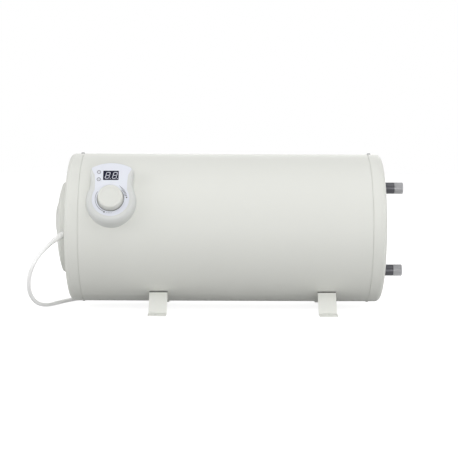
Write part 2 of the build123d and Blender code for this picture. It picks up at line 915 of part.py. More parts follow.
def cord_frame():
    """A place at the cord's exit whose Z points along the cord."""
    start = cord_exit()
    return Plane(origin=start, z_dir=Vector(*cord_points[0]) - start).location


def clamp_screw_spots():
    """The two screws of the cord clamp, beside the cord."""
    rise = tail_corner()[1]
    return [(clamp_front, rise + clamp_screw_spread), (clamp_front, rise - clamp_screw_spread)]


def tail_corner():
    """Where the cord's tail turns inwards behind the cover, as (front, up, out)."""
    at = cord_frame() * Pos(0, 0, -tail_elbow)
    return tuple((left_end.inverse() * at).position)


def cord_tail():
    """The sheathed end of the cord inside the cover."""
    front, up, out = tail_corner()
    start = tuple((left_end.inverse() * cord_frame()).position)
    points = [start, (front, up, out), (tail_end_front, up, out)]
    run = Vector(*points[1]) - Vector(*points[0])
    half = run.get_angle(Vector(-1, 0, 0)) / 2
    bend = cord_bend_share * tail_elbow / math.tan(math.radians(half))
    return left_end * wire(points, cord_radius, bend)


def cord_clamp():
    """The saddle that grips the cord against the left cap."""
    front, up, out = tail_corner()
    block = slab(clamp_length, clamp_width, 0, clamp_height, clamp_front, up)
    sides = block.edges().filter_by(Axis.X).sort_by(Axis.Z)[-2:]
    block = fillet(sides, clamp_corner)
    lane = Plane(origin=(clamp_front, up, out), x_dir=(0, 1, 0), z_dir=(1, 0, 0)).location
    way = cord_radius + sleeve_bore_fit
    block -= lane * rod(way, -clamp_length, clamp_length)
    block -= slab(clamp_length * 2, way * 2, -overrun, out, clamp_front, up)
    for u, v in clamp_screw_spots():
        block -= rod(clamp_screw_radius + lip_fit, 0, clamp_height, u, v)
    return left_end * block


def clamp_screws():
    """The cord clamp's two screws."""
    sizes = (clamp_screw_radius, -clamp_screw_bite, clamp_height)
    places = [left_end * Pos(u, v, 0) for u, v in clamp_screw_spots()]
    heads = (clamp_screw_head_radius, clamp_screw_head_height)
    return group(screw(at, *sizes, *heads) for at in places)


def supply_leads():
    """The cord's three cores, from its stripped end to the terminal block."""
    front, up, out = tail_corner()
    solids = []
    for side, u in zip((1, 0, -1), block_ways()[::-1]):
        v = up + side * lead_spread
        high = out + abs(side) * lead_spread / 2
        middle = (tail_end_front + block_width / 2) / 2 - side * lead_spread * 2
        points = [(tail_end_front, v, high), (middle, v, high), (u, -block_drop, high)]
        points.append((u, -block_drop, bracket_top + block_depth / 2))
        solids.append(left_end * wire(points, lead_radius, lead_bend / 2))
    return group(solids)


def strain_relief():
    """The tapered sleeve on the cord where it leaves the cover."""
    bore = cord_radius + sleeve_bore_fit
    tip = sleeve_outer + sleeve_taper
    corners = [(bore, -sleeve_inner), (sleeve_radius, -sleeve_inner), (sleeve_radius, sleeve_outer)]
    corners += [(sleeve_tip_radius, tip), (bore, tip)]
    return cord_frame() * lathe(*corners)


def bend_radii(points):
    """The radius at each corner: a share of its shorter run, over the tangent of half its turn."""
    radii = []
    for before, here, after in zip(points, points[1:], points[2:]):
        back, ahead = here - before, after - here
        half = math.radians(back.get_angle(ahead)) / 2
        radii.append(cord_bend_share * min(back.length, ahead.length) / math.tan(half))
    return radii


def mains_cord():
    """The cord's loose stretch from the cover round the tank's left end to its coil."""
    points = [cord_exit()] + [Vector(*p) for p in cord_points]
    radii = bend_radii(points)
    path = FilletPolyline(*points, radius=radii)
    cord = sweep(Plane(origin=path @ 0, z_dir=path % 0) * Circle(cord_radius), path=path)
    print("cord bend radii", [round(r, 1) for r in radii])
    expected = math.pi * cord_radius**2 * path.length
    print("cord length", round(path.length, 1), "volume share", round(cord.volume / expected, 4))
    return cord


def coil_frame():
    """The coil's place: its X points from its middle to where the cord joins it."""
    end = Vector(*cord_points[-1])
    run = (end - Vector(*cord_points[-2])).normalized()
    outwards = Vector(run.Y, -run.X, 0).normalized()
    middle = end - outwards * coil_radius
    return Plane(origin=middle, x_dir=outwards, z_dir=(0, 0, 1)).location


def coil_mark(turns):
    """The coil's middle line after that many turns: two layers, spiralling in and out again."""
    turning = coil_turns / 2
    inward = min(turns, coil_turns - turns)
    radius = coil_radius - coil_pitch * inward
    climb = min(max((turns - turning) * 2 + 0.5, 0), 1)
    angle = 2 * math.pi * turns
    return Vector(radius * math.cos(angle), radius * math.sin(angle), coil_pitch * climb)


def coil_heading(turns):
    """The middle line's direction there; at its ends and at its turning point it runs square."""
    angle = 2 * math.pi * turns
    square = Vector(-math.sin(angle), math.cos(angle), 0)
    turning = coil_turns / 2
    if abs(turns - turning) * 4 >= 1:
        return square
    slope = coil_pitch / (math.pi * (coil_radius - coil_pitch * turning))
    return (square + Vector(0, 0, slope)).normalized()


def biarc(start, start_heading, end, end_heading):
    """Two arcs that join two places and their headings smoothly."""
    chord = end - start
    both = start_heading + end_heading
    spread = 2 * (1 - start_heading.dot(end_heading))
    reach = chord.dot(both)
    reach = (math.sqrt(reach**2 + spread * chord.dot(chord)) - reach) / spread
    joint = (start + start_heading * reach + end - end_heading * reach) / 2
    first = TangentArc(start, joint, tangent=start_heading)
    return [first, TangentArc(joint, end, tangent=first % 1)]


def coil_path():
    """The coil's middle line, a biarc for each quarter turn, and the straight tail to the plug."""
    marks = [i / 4 for i in range(round(coil_turns * 4) + 1)]
    arcs = []
    for a, b in zip(marks, marks[1:]):
        arcs += biarc(coil_mark(a), coil_heading(a), coil_mark(b), coil_heading(b))
    end = arcs[-1] @ 1
    arcs.append(Line(end, end + (arcs[-1] % 1) * coil_tail))
    return Wire([arc.edge() for arc in arcs])


def coil_gap(path):
    """The least gap between the coil's turns, measured on points."""
    steps = round(path.length / cord_radius)
    points = [path @ (i / steps) for i in range(steps + 1)]
    apart = round(coil_radius / cord_radius * 2)
    least = path.length
    for i, here in enumerate(points):
        for there in points[i + apart :]:
            least = min(least, (here - there).length)
    return least - 2 * cord_radius


def cord_coil():
    """The rest of the cord, wound up for storage."""
    path = coil_path()
    section = Plane(origin=path @ 0, z_dir=path % 0) * Circle(cord_radius)
    coil = sweep(section, path=path)
    print("coil length", round(path.length, 1), "least gap", round(coil_gap(path), 2))
    expected = math.pi * cord_radius**2 * path.length
    print("coil volume share", round(coil.volume / expected, 4))
    return coil_frame() * coil


def coil_tie():
    """The strap round the coil's turns."""
    inner_edge = coil_radius - coil_pitch * coil_turns / 2 - cord_radius - tie_slack
    outer_edge = coil_radius + cord_radius + tie_fit
    low = -cord_radius - tie_fit
    high = coil_pitch + cord_radius + tie_fit
    middle = (inner_edge + outer_edge) / 2
    wide = outer_edge - inner_edge
    hollow = Pos(middle, 0, (low + high) / 2) * Box(wide, tie_width * 2, high - low)
    sheet = 2 * tie_sheet
    band = Pos(middle, 0, (low + high) / 2) * Box(wide + sheet, tie_width, high - low + sheet)
    band = fillet(band.edges().filter_by(Axis.Y), tie_sheet * 2)
    return coil_frame() * Rot(0, 0, 90) * (band - hollow)


def plug_frame():
    """The plug's place: at the cord's end, with its Z along the cord."""
    path = coil_path()
    return coil_frame() * Plane(origin=path @ 1, x_dir=(0, 0, -1), z_dir=path % 1).location


def plug_body():
    """The moulded three-pin plug."""
    face = Pos(0, 0, plug_length) * Rectangle(plug_face_height, plug_face_width)
    neck = Circle(plug_waist / 2)
    shoulder = Pos(0, 0, plug_length / 2) * Rectangle(plug_face_height, plug_width)
    grip = loft([neck, Pos(0, 0, plug_length / 4) * Circle(plug_waist / 2 + plug_swell)])
    body = loft([Pos(0, 0, plug_length / 4) * Rectangle(plug_waist, plug_waist), shoulder])
    brow = Pos(0, 0, plug_length - plug_face_thickness) * Rectangle(plug_face_height, plug_width)
    head = loft([shoulder, brow])
    head += extrude(face, amount=-plug_face_thickness)
    plug = grip + body + head
    return plug_frame() * plug


def plug_pins():
    """The plug's three flat pins."""
    pin = slab(pin_width, pin_thickness, plug_length, plug_length + pin_length)
    places = [(-pin_rise, side * pin_side, side * pin_slant) for side in (1, -1)]
    places.append((earth_pin_drop, 0, earth_pin_turn))
    return group(plug_frame() * Pos(u, v, 0) * Rot(0, 0, turn) * pin for u, v, turn in places)


def panel_outline(bulb, inset):
    """The control panel's outline: a round bulb below, widening into a head with an arched top."""
    half_width = head_half_width - inset
    rise = head_corner_rise
    reach = math.hypot(half_width, rise + knob_drop)
    turn = math.atan2(rise + knob_drop, half_width) - math.acos(bulb / reach)
    side = (bulb * math.cos(turn), bulb * math.sin(turn) - knob_drop)
    other = (-side[0], side[1])
    outline = ThreePointArc(side, (0, -knob_drop - bulb), other)
    outline += Line(other, (-half_width, rise))
    outline += ThreePointArc((-half_width, rise), (0, head_top_rise - inset), (half_width, rise))
    outline += Line((half_width, rise), side)
    face = make_face(outline)
    face = fillet(corner(face, half_width, rise), head_corner_round - inset)
    return fillet(corner(face, -half_width, rise), head_corner_round - inset)


def housing_form(inset):
    """The solid inside the control panel's moulding, drawn in by inset."""
    shoulder = tank_radius + panel_swell
    top = panel_face - inset
    base = panel_outline(bulb_radius - inset, inset)
    brow = panel_outline(brow_bulb_radius - inset, inset + face_margin / 2)
    face = panel_outline(face_bulb_radius - inset, inset + face_margin)
    root = Pos(0, 0, tank_radius - panel_root_depth) * base
    form = extrude(root, amount=panel_swell + panel_root_depth)
    form += loft([Pos(0, 0, shoulder) * base, Pos(0, 0, top - panel_brow) * brow], ruled=True)
    form += loft([Pos(0, 0, top - panel_brow) * brow, Pos(0, 0, top) * face], ruled=True)
    return form


def label_outline(inset):
    """The label's outline: a ring round the knob that widens into the head."""
    half = [(label_neck_half_width, -knob_drop), (label_neck_half_width, label_neck_rise)]
    half += [(label_shoulder_half_width, label_shoulder_rise)]
    half += [(label_head_half_width, label_head_corner_rise)]
    left = [(-u, v) for u, v in half]
    crown = ThreePointArc(half[-1], (0, label_head_top_rise), left[-1])
    outline = crown + Polyline(*left[::-1]) + Line(left[0], half[0]) + Polyline(*half)
    head = make_face(outline)
    for u, v in (half[-1], left[-1]):
        head = fillet(corner(head, u, v), label_corner_round)
    return offset(head + Pos(0, -knob_drop) * Circle(label_radius), amount=-inset)


def window_form(inset, low, high):
    """The display window's block, drawn in by inset."""
    width, height = window_width - 2 * inset, window_height - 2 * inset
    outline = RectangleRounded(width, height, window_corner)
    return extrude(Pos(window_shift, window_rise, low) * outline, amount=high - low)


def control_housing():
    """The control panel's moulding, hollow, open towards the tank and curved to sit on it."""
    outside = housing_form(0)
    housing = outside - housing_form(panel_wall)
    housing += rod(well_radius + panel_wall, well_under, panel_ceiling, 0, -knob_drop)
    for u, v in panel_post_places:
        housing += rod(panel_post_radius, tank_radius - panel_root_depth, panel_ceiling, u, v) & outside
    for u, v in board_post_places:
        housing += rod(board_post_radius, board_top, panel_ceiling, u, v)
    housing -= rod(well_radius, well_level, panel_face, 0, -knob_drop)
    housing -= rod(bushing_radius + lip_fit, well_under, well_level, 0, -knob_drop)
    housing -= window_form(0, panel_ceiling, panel_face)
    for v in lamp_rises:
        housing -= rod(lamp_radius + lamp_fit, panel_ceiling, panel_face, lamp_shift, v)
    recess = Pos(0, 0, panel_face - label_thickness) * label_outline(-label_fit)
    housing -= extrude(recess, amount=label_thickness)
    for u, v in panel_post_places:
        top = panel_screw_seat(v) + panel_screw_length + board_thickness
        housing -= rod(panel_screw_radius + vessel_fit, tank_radius - panel_root_depth, top, u, v)
    for u, v in board_post_places:
        top = board_under + board_screw_length + board_thickness
        housing -= rod(board_screw_radius + vessel_fit, board_top, top, u, v)
    return panel * housing - along * rod(tank_radius + panel_seat, -half_shell, half_shell)


def control_label():
    """The printed plate let into the panel's face."""
    low = panel_face - label_thickness
    plate = extrude(Pos(0, 0, low) * label_outline(0), amount=label_thickness)
    plate -= rod(well_radius + label_fit, low, panel_face, 0, -knob_drop)
    plate -= window_form(0, low, panel_face)
    for v in lamp_rises:
        plate -= rod(lamp_radius + lamp_fit, low, panel_face, lamp_shift, v)
    return panel * plate


def display_window():
    """The clear plate over the display."""
    return panel * window_form(window_fit, panel_face - window_thickness, panel_face)


def display_module():
    """The two-digit display under its window."""
    high = panel_face - window_thickness
    return panel * window_form(digits_fit, board_top, high)


def indicator_lamps():
    """Two round lamps beside the display."""
    solids = []
    for v in lamp_rises:
        lamp = rod(lamp_radius, board_top, panel_face, lamp_shift, v)
        lamp += rod(lamp_collar_radius, board_top, board_top + lamp_collar_height, lamp_shift, v)
        solids.append(panel * lamp)
    return group(solids)


def control_board():
    """The circuit board under the panel's face."""
    margin = panel_wall + board_margin
    outline = panel_outline(bulb_radius - margin, margin)
    board = extrude(Pos(0, 0, board_under) * outline, amount=board_thickness)
    for u, v in panel_post_places:
        board -= rod(panel_post_radius + hole_clearance, board_under, board_top, u, v)
    for u, v in board_post_places:
        board -= rod(board_screw_radius + vessel_fit, board_under, board_top, u, v)
    return panel * board


def board_screws():
    """The screws that hold the board under its two posts."""
    at = [panel * Pos(u, v, board_under) * Rot(180, 0, 0) for u, v in board_post_places]
    sizes = (board_screw_radius, -board_screw_length, 0)
    heads = (board_screw_head_radius, board_screw_head_height)
    return group(screw(place, *sizes, *heads) for place in at)


def housing_screws():
    """The screws from inside the casing that hold the panel on."""
    sizes = (panel_screw_radius, -panel_screw_length, 0)
    heads = (panel_screw_head_radius, panel_screw_head_height)
    solids = []
    for u, v in panel_post_places:
        place = panel * Pos(u, v, panel_screw_seat(v)) * Rot(180, 0, 0)
        solids.append(screw(place, *sizes, *heads))
    return group(solids)


def potentiometer_body():
    """The rotary control under the panel, with its threaded bushing through the well's floor."""
    body = rod(pot_radius, board_top, well_under) + rod(bushing_radius, well_under, bushing_top)
    return knob_place * (body - rod(shaft_radius + shaft_fit, shaft_low - shaft_end_gap, bushing_top))


def potentiometer_nut():
    """The nut that holds the rotary control to the panel."""
    nut = extrude(Pos(0, 0, well_level) * RegularPolygon(pot_nut_radius, 6), amount=pot_nut_height)
    return knob_place * (nut - rod(bushing_radius + vessel_fit, well_level, bushing_top))


def potentiometer_shaft():
    """The rotary control's spindle, pressed into the knob."""
    return knob_place * rod(shaft_radius, shaft_low, boss_base + knob_shaft_bite)


def control_knob():
    """The round knob: a hollow cap with a dished face, on a boss that grips the spindle."""
    middle = Pos(0, 0, knob_base + knob_height / 2)
    knob = middle * Cone(knob_radius, knob_radius - knob_draft, knob_height)
    rim = knob.edges().filter_by(GeomType.CIRCLE).sort_by(Axis.Z)[-1]
    knob = fillet(rim, knob_round)
    dish = mirror(dome_form(knob_dish_radius, knob_dish_depth), about=Plane.XY)
    knob -= Pos(0, 0, knob_face) * dish
    inner = knob_radius - knob_wall
    hollow = Cone(inner, inner - knob_draft, knob_height - knob_top)
    knob -= Pos(0, 0, knob_base + (knob_height - knob_top) / 2) * hollow
    knob += rod(knob_boss_radius, boss_base, knob_face - knob_top)
    bore = boss_base + knob_shaft_bite
    return knob_place * (knob - rod(shaft_radius + knob_bore_fit, boss_base, bore))


def harness_path():
    """The control cable's way, as (front, up, out): down through the casing, left, then inwards."""
    top = left_end.inverse() * panel * Pos(0, harness_rise, board_under)
    low = left_end.inverse() * panel * Pos(0, harness_rise, tank_radius - harness_depth)
    front, up, _ = tuple(low.position)
    out = bracket_top + cutout_depth / 2
    points = [tuple(top.position), tuple(low.position), (front, up, out)]
    points.append((harness_end_front, cutout_rise, out))
    points.append((cutout_width / 2, cutout_rise, out))
    return points


def control_harness():
    """The sheathed cable from the board to the thermal cut-out."""
    return left_end * wire(harness_path(), harness_radius, harness_bend)


def harness_grommet():
    """The rubber ring that guards the control cable where it passes the casing."""
    wide = harness_hole_radius + harness_grommet_lip
    high = math.sqrt(tank_radius**2 - (harness_rise - wide) ** 2) + harness_grommet_wall / 2
    low = math.sqrt(shell_inner**2 - (harness_rise + wide) ** 2) - harness_grommet_wall
    ring = rod(harness_hole_radius - lip_fit, low, high) + rod(wide, high, high + harness_grommet_wall)
    ring -= rod(harness_radius + lip_fit, low, high + harness_grommet_wall)
    return panel * Pos(0, harness_rise, 0) * ring


os.makedirs("parts", exist_ok=True)
keep("outer_shell", outer_shell())
keep("left_end_cap", left_end_cap())
keep("right_end_cap", right_end_cap())
keep("left_cap_screws", cap_screws(cap_screw_places()[0]))
keep("right_cap_screws", cap_screws(cap_screw_places()[1]))
keep("left_foot", foot(foot_places[0]))
keep("right_foot", foot(foot_places[1]))
keep("foot_rivets", foot_rivets())
keep("tank_barrel", tank_barrel())
keep("tank_dome_left", tank_dome_left())
keep("tank_dome_right", tank_dome_right())
keep("tank_neck", tank_neck())
keep("foam_insulation", foam_insulation())
keep("hot_outlet_pipe", water_pipe(pipe_rises[0]))
keep("cold_inlet_pipe", water_pipe(pipe_rises[1]))
keep("inlet_deflector", inlet_deflector())
keep("element_flange", element_flange())
keep("element_gasket", element_gasket())
keep("flange_bolts", flange_bolts())
keep("heating_element", heating_element())
keep("element_terminals", element_terminals())
keep("sensor_pocket", sensor_pocket())
keep("temperature_sensor", temperature_sensor())
keep("anode_rod", anode_rod())
keep("electrical_cover", electrical_cover())
keep("cover_screws", cover_screws())
keep("compartment_bracket", compartment_bracket())
keep("bracket_screws", bracket_screws())
keep("terminal_block", terminal_block())
keep("terminal_screws", terminal_screws())
keep("cutout_body", cutout_body())
keep("reset_button", reset_button())
keep("earth_stud", earth_stud())
keep("element_leads", element_leads())
keep("link_leads", link_leads())
keep("supply_leads", supply_leads())
keep("cord_clamp", cord_clamp())
keep("clamp_screws", clamp_screws())
keep("cord_tail", cord_tail())
keep("control_housing", control_housing())
keep("control_label", control_label())
keep("display_window", display_window())
keep("display_module", display_module())
keep("indicator_lamps", indicator_lamps())
keep("control_board", control_board())
keep("board_screws", board_screws())
keep("housing_screws", housing_screws())
keep("potentiometer_body", potentiometer_body())
keep("potentiometer_nut", potentiometer_nut())
keep("potentiometer_shaft", potentiometer_shaft())
keep("control_knob", control_knob())
keep("control_harness", control_harness())
keep("harness_grommet", harness_grommet())
keep("strain_relief", strain_relief())
keep("mains_cord", mains_cord())
keep("cord_coil", cord_coil())
keep("coil_tie", coil_tie())
keep("plug_body", plug_body())
keep("plug_pins", plug_pins())
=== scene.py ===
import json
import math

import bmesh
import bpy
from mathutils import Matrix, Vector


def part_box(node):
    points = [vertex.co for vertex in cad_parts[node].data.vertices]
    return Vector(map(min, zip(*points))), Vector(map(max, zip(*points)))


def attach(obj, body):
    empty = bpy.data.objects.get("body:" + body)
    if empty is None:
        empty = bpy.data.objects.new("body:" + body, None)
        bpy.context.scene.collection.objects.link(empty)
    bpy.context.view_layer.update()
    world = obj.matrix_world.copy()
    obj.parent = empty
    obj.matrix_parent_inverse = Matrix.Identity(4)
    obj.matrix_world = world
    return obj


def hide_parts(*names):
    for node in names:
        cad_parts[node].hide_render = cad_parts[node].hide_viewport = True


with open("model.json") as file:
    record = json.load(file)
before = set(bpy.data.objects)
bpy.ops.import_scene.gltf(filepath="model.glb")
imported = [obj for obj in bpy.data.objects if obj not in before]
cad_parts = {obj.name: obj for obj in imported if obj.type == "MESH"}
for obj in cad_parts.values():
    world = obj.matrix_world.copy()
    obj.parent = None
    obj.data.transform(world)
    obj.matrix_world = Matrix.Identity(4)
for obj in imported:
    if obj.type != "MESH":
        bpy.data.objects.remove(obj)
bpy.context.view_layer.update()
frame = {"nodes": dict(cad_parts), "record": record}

# %% [markdown]
# # A caravan water heater
# The frame holds the solids that the object was built from: casing, caps, feet, panel, pipes.
# This lesson gives them their finishes, and models afresh the pieces whose shape needs more
# than the solids have. Everything is in metres, with +Z up and the user at -Y. Sizes are
# written in millimetres and multiplied by MM.

nodes = frame["nodes"]
MM = 0.001
TANK_MIDDLE = Vector((-28.5, 0, 134)) * MM

# %% [markdown]
# ## Camera
# The photograph was taken from a little above the tank's axis, with a long lens: the ends of
# the cylinder show as thin ellipses and hardly anything converges. The camera stands 2.2 m
# from the tank's middle, and its lens is set from the length of the casing in the picture.
# Two small shifts then put that middle at its column and row in the picture.

# %% Camera
PICTURE = 458
FOCAL_PIXELS = 1291
MIDDLE_COLUMN, MIDDLE_ROW = 225.9, 227.4
CAMERA_DISTANCE = 2.2
CAMERA_RISE = math.radians(4.5)
CAMERA_ROLL = math.radians(-0.2)
camera_data = bpy.data.cameras.new("camera")
camera_data.sensor_width = 36
camera_data.lens = FOCAL_PIXELS / PICTURE * camera_data.sensor_width
camera_data.shift_x = (PICTURE / 2 - MIDDLE_COLUMN) / PICTURE
camera_data.shift_y = (MIDDLE_ROW - PICTURE / 2) / PICTURE
camera_data.clip_end = 20
camera = bpy.data.objects.new("camera", camera_data)
bpy.context.scene.collection.objects.link(camera)
camera.location = (
    TANK_MIDDLE.x,
    -CAMERA_DISTANCE * math.cos(CAMERA_RISE),
    TANK_MIDDLE.z + CAMERA_DISTANCE * math.sin(CAMERA_RISE),
)
camera.rotation_euler = (math.radians(90) - CAMERA_RISE, CAMERA_ROLL, 0)
bpy.context.scene.camera = camera
print("lens", round(camera_data.lens, 1), "mm")

# %% [markdown]
# ## The mains cord
# A 7 mm flex is stiff enough to make one bow from its hole in the side cover down to the
# floor. The points below are the control points of one smooth spline. Behind the tank the rest
# is wound up: two layers of turns, which spiral in and out again, and a short straight end
# that runs into the plug. The curve's bevel is 1 m, so a point's radius is the cord's own.

# %% Cord route
CORD_RADIUS = 3.5 * MM
CORD_START = Vector((-298.0, -76.572, 127.0)) * MM
CORD_ROUTE = [
    (-323.0, -113.2, 108.5),
    (-343.0, -124.0, 76.0),
    (-350.0, -108.0, 40.0),
    (-343.0, -72.0, 13.0),
    (-330.0, -32.0, 3.6),
    (-315.0, 7.0, 3.6),
    (-297.0, 44.0, 3.6),
    (-275.0, 76.0, 3.6),
    (-246.0, 96.0, 4.7),
    (-212.0, 101.0, 4.7),
]
COIL_RADIUS, COIL_PITCH, COIL_TURNS, MARKS = 49.0, 7.6, 4.5, 24
FIRST_MARK, CLIMB_TURNS = 2, 0.5
STRAIGHT_END = (2, 12, 20)


def circle_way(angle):
    """The direction from a circle's middle to a place on it, level with the floor."""
    return Vector((math.cos(angle), math.sin(angle), 0))


def coil_points():
    """The coil's control points, on a circle a little wide because a spline cuts inside them."""
    end, before = Vector(CORD_ROUTE[-1]), Vector(CORD_ROUTE[-2])
    run = (end - before).normalized()
    start = math.atan2(-run.x, run.y)
    middle = end - circle_way(start) * COIL_RADIUS
    widening = 1 / math.cos(math.pi / MARKS)
    points = []
    for mark in range(FIRST_MARK, round(COIL_TURNS * MARKS) + 1):
        turns = mark / MARKS
        radius = (COIL_RADIUS - COIL_PITCH * min(turns, COIL_TURNS - turns)) * widening
        climb = min(max((turns - COIL_TURNS / 2) / CLIMB_TURNS + 0.5, 0), 1)
        place = circle_way(start + 2 * math.pi * turns) * radius
        points.append(middle + place + Vector((0, 0, COIL_PITCH * climb)))
    outward_way = circle_way(start + 2 * math.pi * COIL_TURNS)
    heading = Vector((-outward_way.y, outward_way.x, 0))
    last = middle + outward_way * COIL_RADIUS
    last.z = points[-1].z
    return points[:-1] + [last + heading * reach for reach in STRAIGHT_END]


cord_data = bpy.data.curves.new("power_cord", "CURVE")
cord_data.dimensions = "3D"
cord_data.bevel_depth = 1.0
cord_data.bevel_resolution = 6
cord_data.resolution_u = 8
cord_data.use_fill_caps = True
spline = cord_data.splines.new("NURBS")
route = [CORD_START] + [Vector(p) * MM for p in CORD_ROUTE] + [p * MM for p in coil_points()]
spline.points.add(len(route) - 1)
for point, place in zip(spline.points, route):
    point.co = (*place, 1)
    point.radius = CORD_RADIUS
spline.order_u = 3
spline.use_endpoint_u = True
power_cord = bpy.data.objects.new("power_cord", cord_data)
bpy.context.scene.collection.objects.link(power_cord)
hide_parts("mains_cord", "cord_coil")
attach(power_cord, "tank")
print("cord length", round(spline.calc_length(), 3), "m")

# %% [markdown]
# ## Floor and lamps
# The photograph is a studio cut-out on white. A broad lamp overhead gives the casing its bright
# upper half. A low, wide one in front lights the face evenly and leaves the underside softly
# dark. One lamp at each side keeps the caps' ends pale, and one behind lights the back for the
# other views. The floor lies a hair under the feet, so that the two surfaces don't mix.

# %% Floor and lamps
FLOOR_SIZE, FLOOR_GAP = 12, 0.0002
bpy.ops.object.select_all(action="DESELECT")
bpy.ops.mesh.primitive_plane_add(size=1, location=(0, 0, -FLOOR_GAP))
floor = bpy.context.object
floor.name = "floor"
bpy.ops.object.mode_set(mode="EDIT")
bpy.ops.transform.resize(value=(FLOOR_SIZE, FLOOR_SIZE, 1))
bpy.ops.object.mode_set(mode="OBJECT")


def lamp(name, place, aim, size, energy):
    """An oblong lamp that faces a point."""
    data = bpy.data.lights.new(name, "AREA")
    data.shape = "RECTANGLE"
    data.size, data.size_y = size
    data.energy = energy
    item = bpy.data.objects.new(name, data)
    item.location = place
    item.rotation_euler = (Vector(aim) - Vector(place)).to_track_quat("-Z", "Y").to_euler()
    bpy.context.scene.collection.objects.link(item)


lamp("overhead", (0.1, -0.6, 2.0), (0, 0, 0.1), (2.2, 1.4), 12.5)
lamp("front_fill", (0.2, -2.6, 0.1), (0, 0, 0.14), (2.0, 0.4), 25.5)
lamp("left_side", (-2.2, -0.8, 0.9), (0, 0, 0.15), (1.2, 1.2), 14)
lamp("right_side", (2.3, -0.9, 0.8), (0, 0, 0.15), (1.2, 1.0), 12)
lamp("back_side", (0.3, 2.4, 1.1), (0, 0, 0.15), (1.8, 1.2), 15)

# %% [markdown]
# ## How the finishes are written
# A finish is a material whose pattern is worked out from the piece's own coordinates. The
# small Signal class lets the pattern be written as arithmetic: each sum adds its Math node.
# Every other node comes from one method, which takes the node's type, settings and sockets.

# %% Signals


class Signal:
    """A socket that carries a value; sums on it add Math nodes."""

    def __init__(self, wiring, socket):
        self.wiring = wiring
        self.socket = socket

    def math(self, operation, second=0.0):
        """One Math node whose first value is this signal."""
        return self.wiring.node("ShaderNodeMath", {"operation": operation}, {0: self, 1: second})

    def __add__(self, other):
        return self.math("ADD", other)

    def __sub__(self, other):
        return self.math("SUBTRACT", other)

    def __rsub__(self, other):
        return self.wiring.node("ShaderNodeMath", {"operation": "SUBTRACT"}, {0: other, 1: self})

    def __mul__(self, other):
        return self.math("MULTIPLY", other)

    __radd__ = __add__
    __rmul__ = __mul__

    def above(self, level, softness):
        """0 below the level and 1 above it, with a soft step between."""
        inputs = {"Value": self, "From Min": level - softness, "From Max": level + softness}
        settings = {"interpolation_type": "SMOOTHSTEP"}
        return self.wiring.node("ShaderNodeMapRange", settings, inputs)


class Wiring:
    """A node tree, to which nodes are added one at a time."""

    def __init__(self, tree):
        self.tree = tree

    def feed(self, socket, value):
        """Links a signal to a socket, or sets the socket's own value."""
        if isinstance(value, Signal):
            self.tree.links.new(value.socket, socket)
        else:
            socket.default_value = value

    def node(self, kind, settings, inputs, output=0):
        """Any node: its settings first, then the values or links of its sockets."""
        made = self.tree.nodes.new(kind)
        for setting, value in settings.items():
            setattr(made, setting, value)
        for socket, value in inputs.items():
            self.feed(made.inputs[socket], value)
        return Signal(self, made.outputs[output])


print("signals are ready")

# %% [markdown]
# ## What a finish holds
# A finish starts as Blender's main shader with a plain colour and roughness. Cloudy lightness,
# masks and fine relief are then laid over it. Most pieces of a household machine are plain, so
# one function, wear, makes all their finishes from a colour, a gloss and three sizes.

# %% Finishes


class Finish(Wiring):
    """One material: a base colour and gloss, and the patterns laid over them."""

    def __init__(self, name, color, roughness, **constants):
        self.material = bpy.data.materials.new(name)
        self.material.use_nodes = True
        super().__init__(self.material.node_tree)
        self.shader = self.tree.nodes["Principled BSDF"]
        self.color = (*color, 1)
        self.put("Base Color", self.color)
        self.put("Roughness", roughness)
        for socket, value in constants.items():
            self.put(socket.replace("_", " "), value)
        self.material.diffuse_color = self.color
        self.place = self.node("ShaderNodeTexCoord", {}, {}, "Object")

    def put(self, socket, value):
        """Sets one of the shader's sockets, or links a signal to it."""
        self.feed(self.shader.inputs[socket], value)

    def noise(self, scale, detail=2.0, stretch=(1, 1, 1)):
        """Even noise from 0 to 1, at a scale in lumps for each metre."""
        spot = self.node("ShaderNodeMapping", {}, {"Vector": self.place, "Scale": stretch})
        inputs = {"Vector": spot, "Scale": scale, "Detail": detail}
        return self.node("ShaderNodeTexNoise", {}, inputs)

    def blend(self, mask, first, second):
        """A colour that goes from the first to the second as the mask rises."""
        inputs = {0: mask, 6: first, 7: second}
        return self.node("ShaderNodeMix", {"data_type": "RGBA"}, inputs, 2)

    def shade(self, mask, low, high):
        """The finish's own colour, varied in lightness with a mask."""
        dark = tuple(c * low for c in self.color[:3]) + (1,)
        light = tuple(min(c * high, 1) for c in self.color[:3]) + (1,)
        self.coat = self.blend(mask, dark, light)
        self.put("Base Color", self.coat)

    def relief(self, height, distance):
        """Fine relief of that height in metres."""
        inputs = {"Height": height, "Distance": distance}
        self.put("Normal", self.node("ShaderNodeBump", {}, inputs))

    def axis(self, name):
        """One coordinate of the piece, in metres."""
        return self.node("ShaderNodeSeparateXYZ", {}, {0: self.place}, name)


GLOSS_SPREAD = 0.12


def wear(name, color, roughness, lumps, spread=0.04, grain=1500, depth=0.00002, **constants):
    """A plain finish: cloudy lightness and gloss, and a fine grain."""
    finish = Finish(name, color, roughness, **constants)
    cloud = finish.noise(lumps, 3)
    finish.shade(cloud, 1 - spread, 1 + spread)
    finish.put("Roughness", cloud * GLOSS_SPREAD + (roughness - GLOSS_SPREAD / 2))
    finish.relief(finish.noise(grain), depth)
    return finish


def dress(item, finish):
    """Gives a piece its one finish."""
    item.data.materials.clear()
    item.data.materials.append(finish.material)


print("finishes are ready")

# %% [markdown]
# ## White floor and world
# Only what the camera, a mirror or glass sees is lit to full white, while the light that falls
# on the object stays at a level that keeps the cream paint cream. The shadow that the object
# leaves is kept by mixing the white with an ordinary matt floor.

# %% White floor and world
FLOOR_GLOW, WORLD_LEVEL = 0.85, 0.45


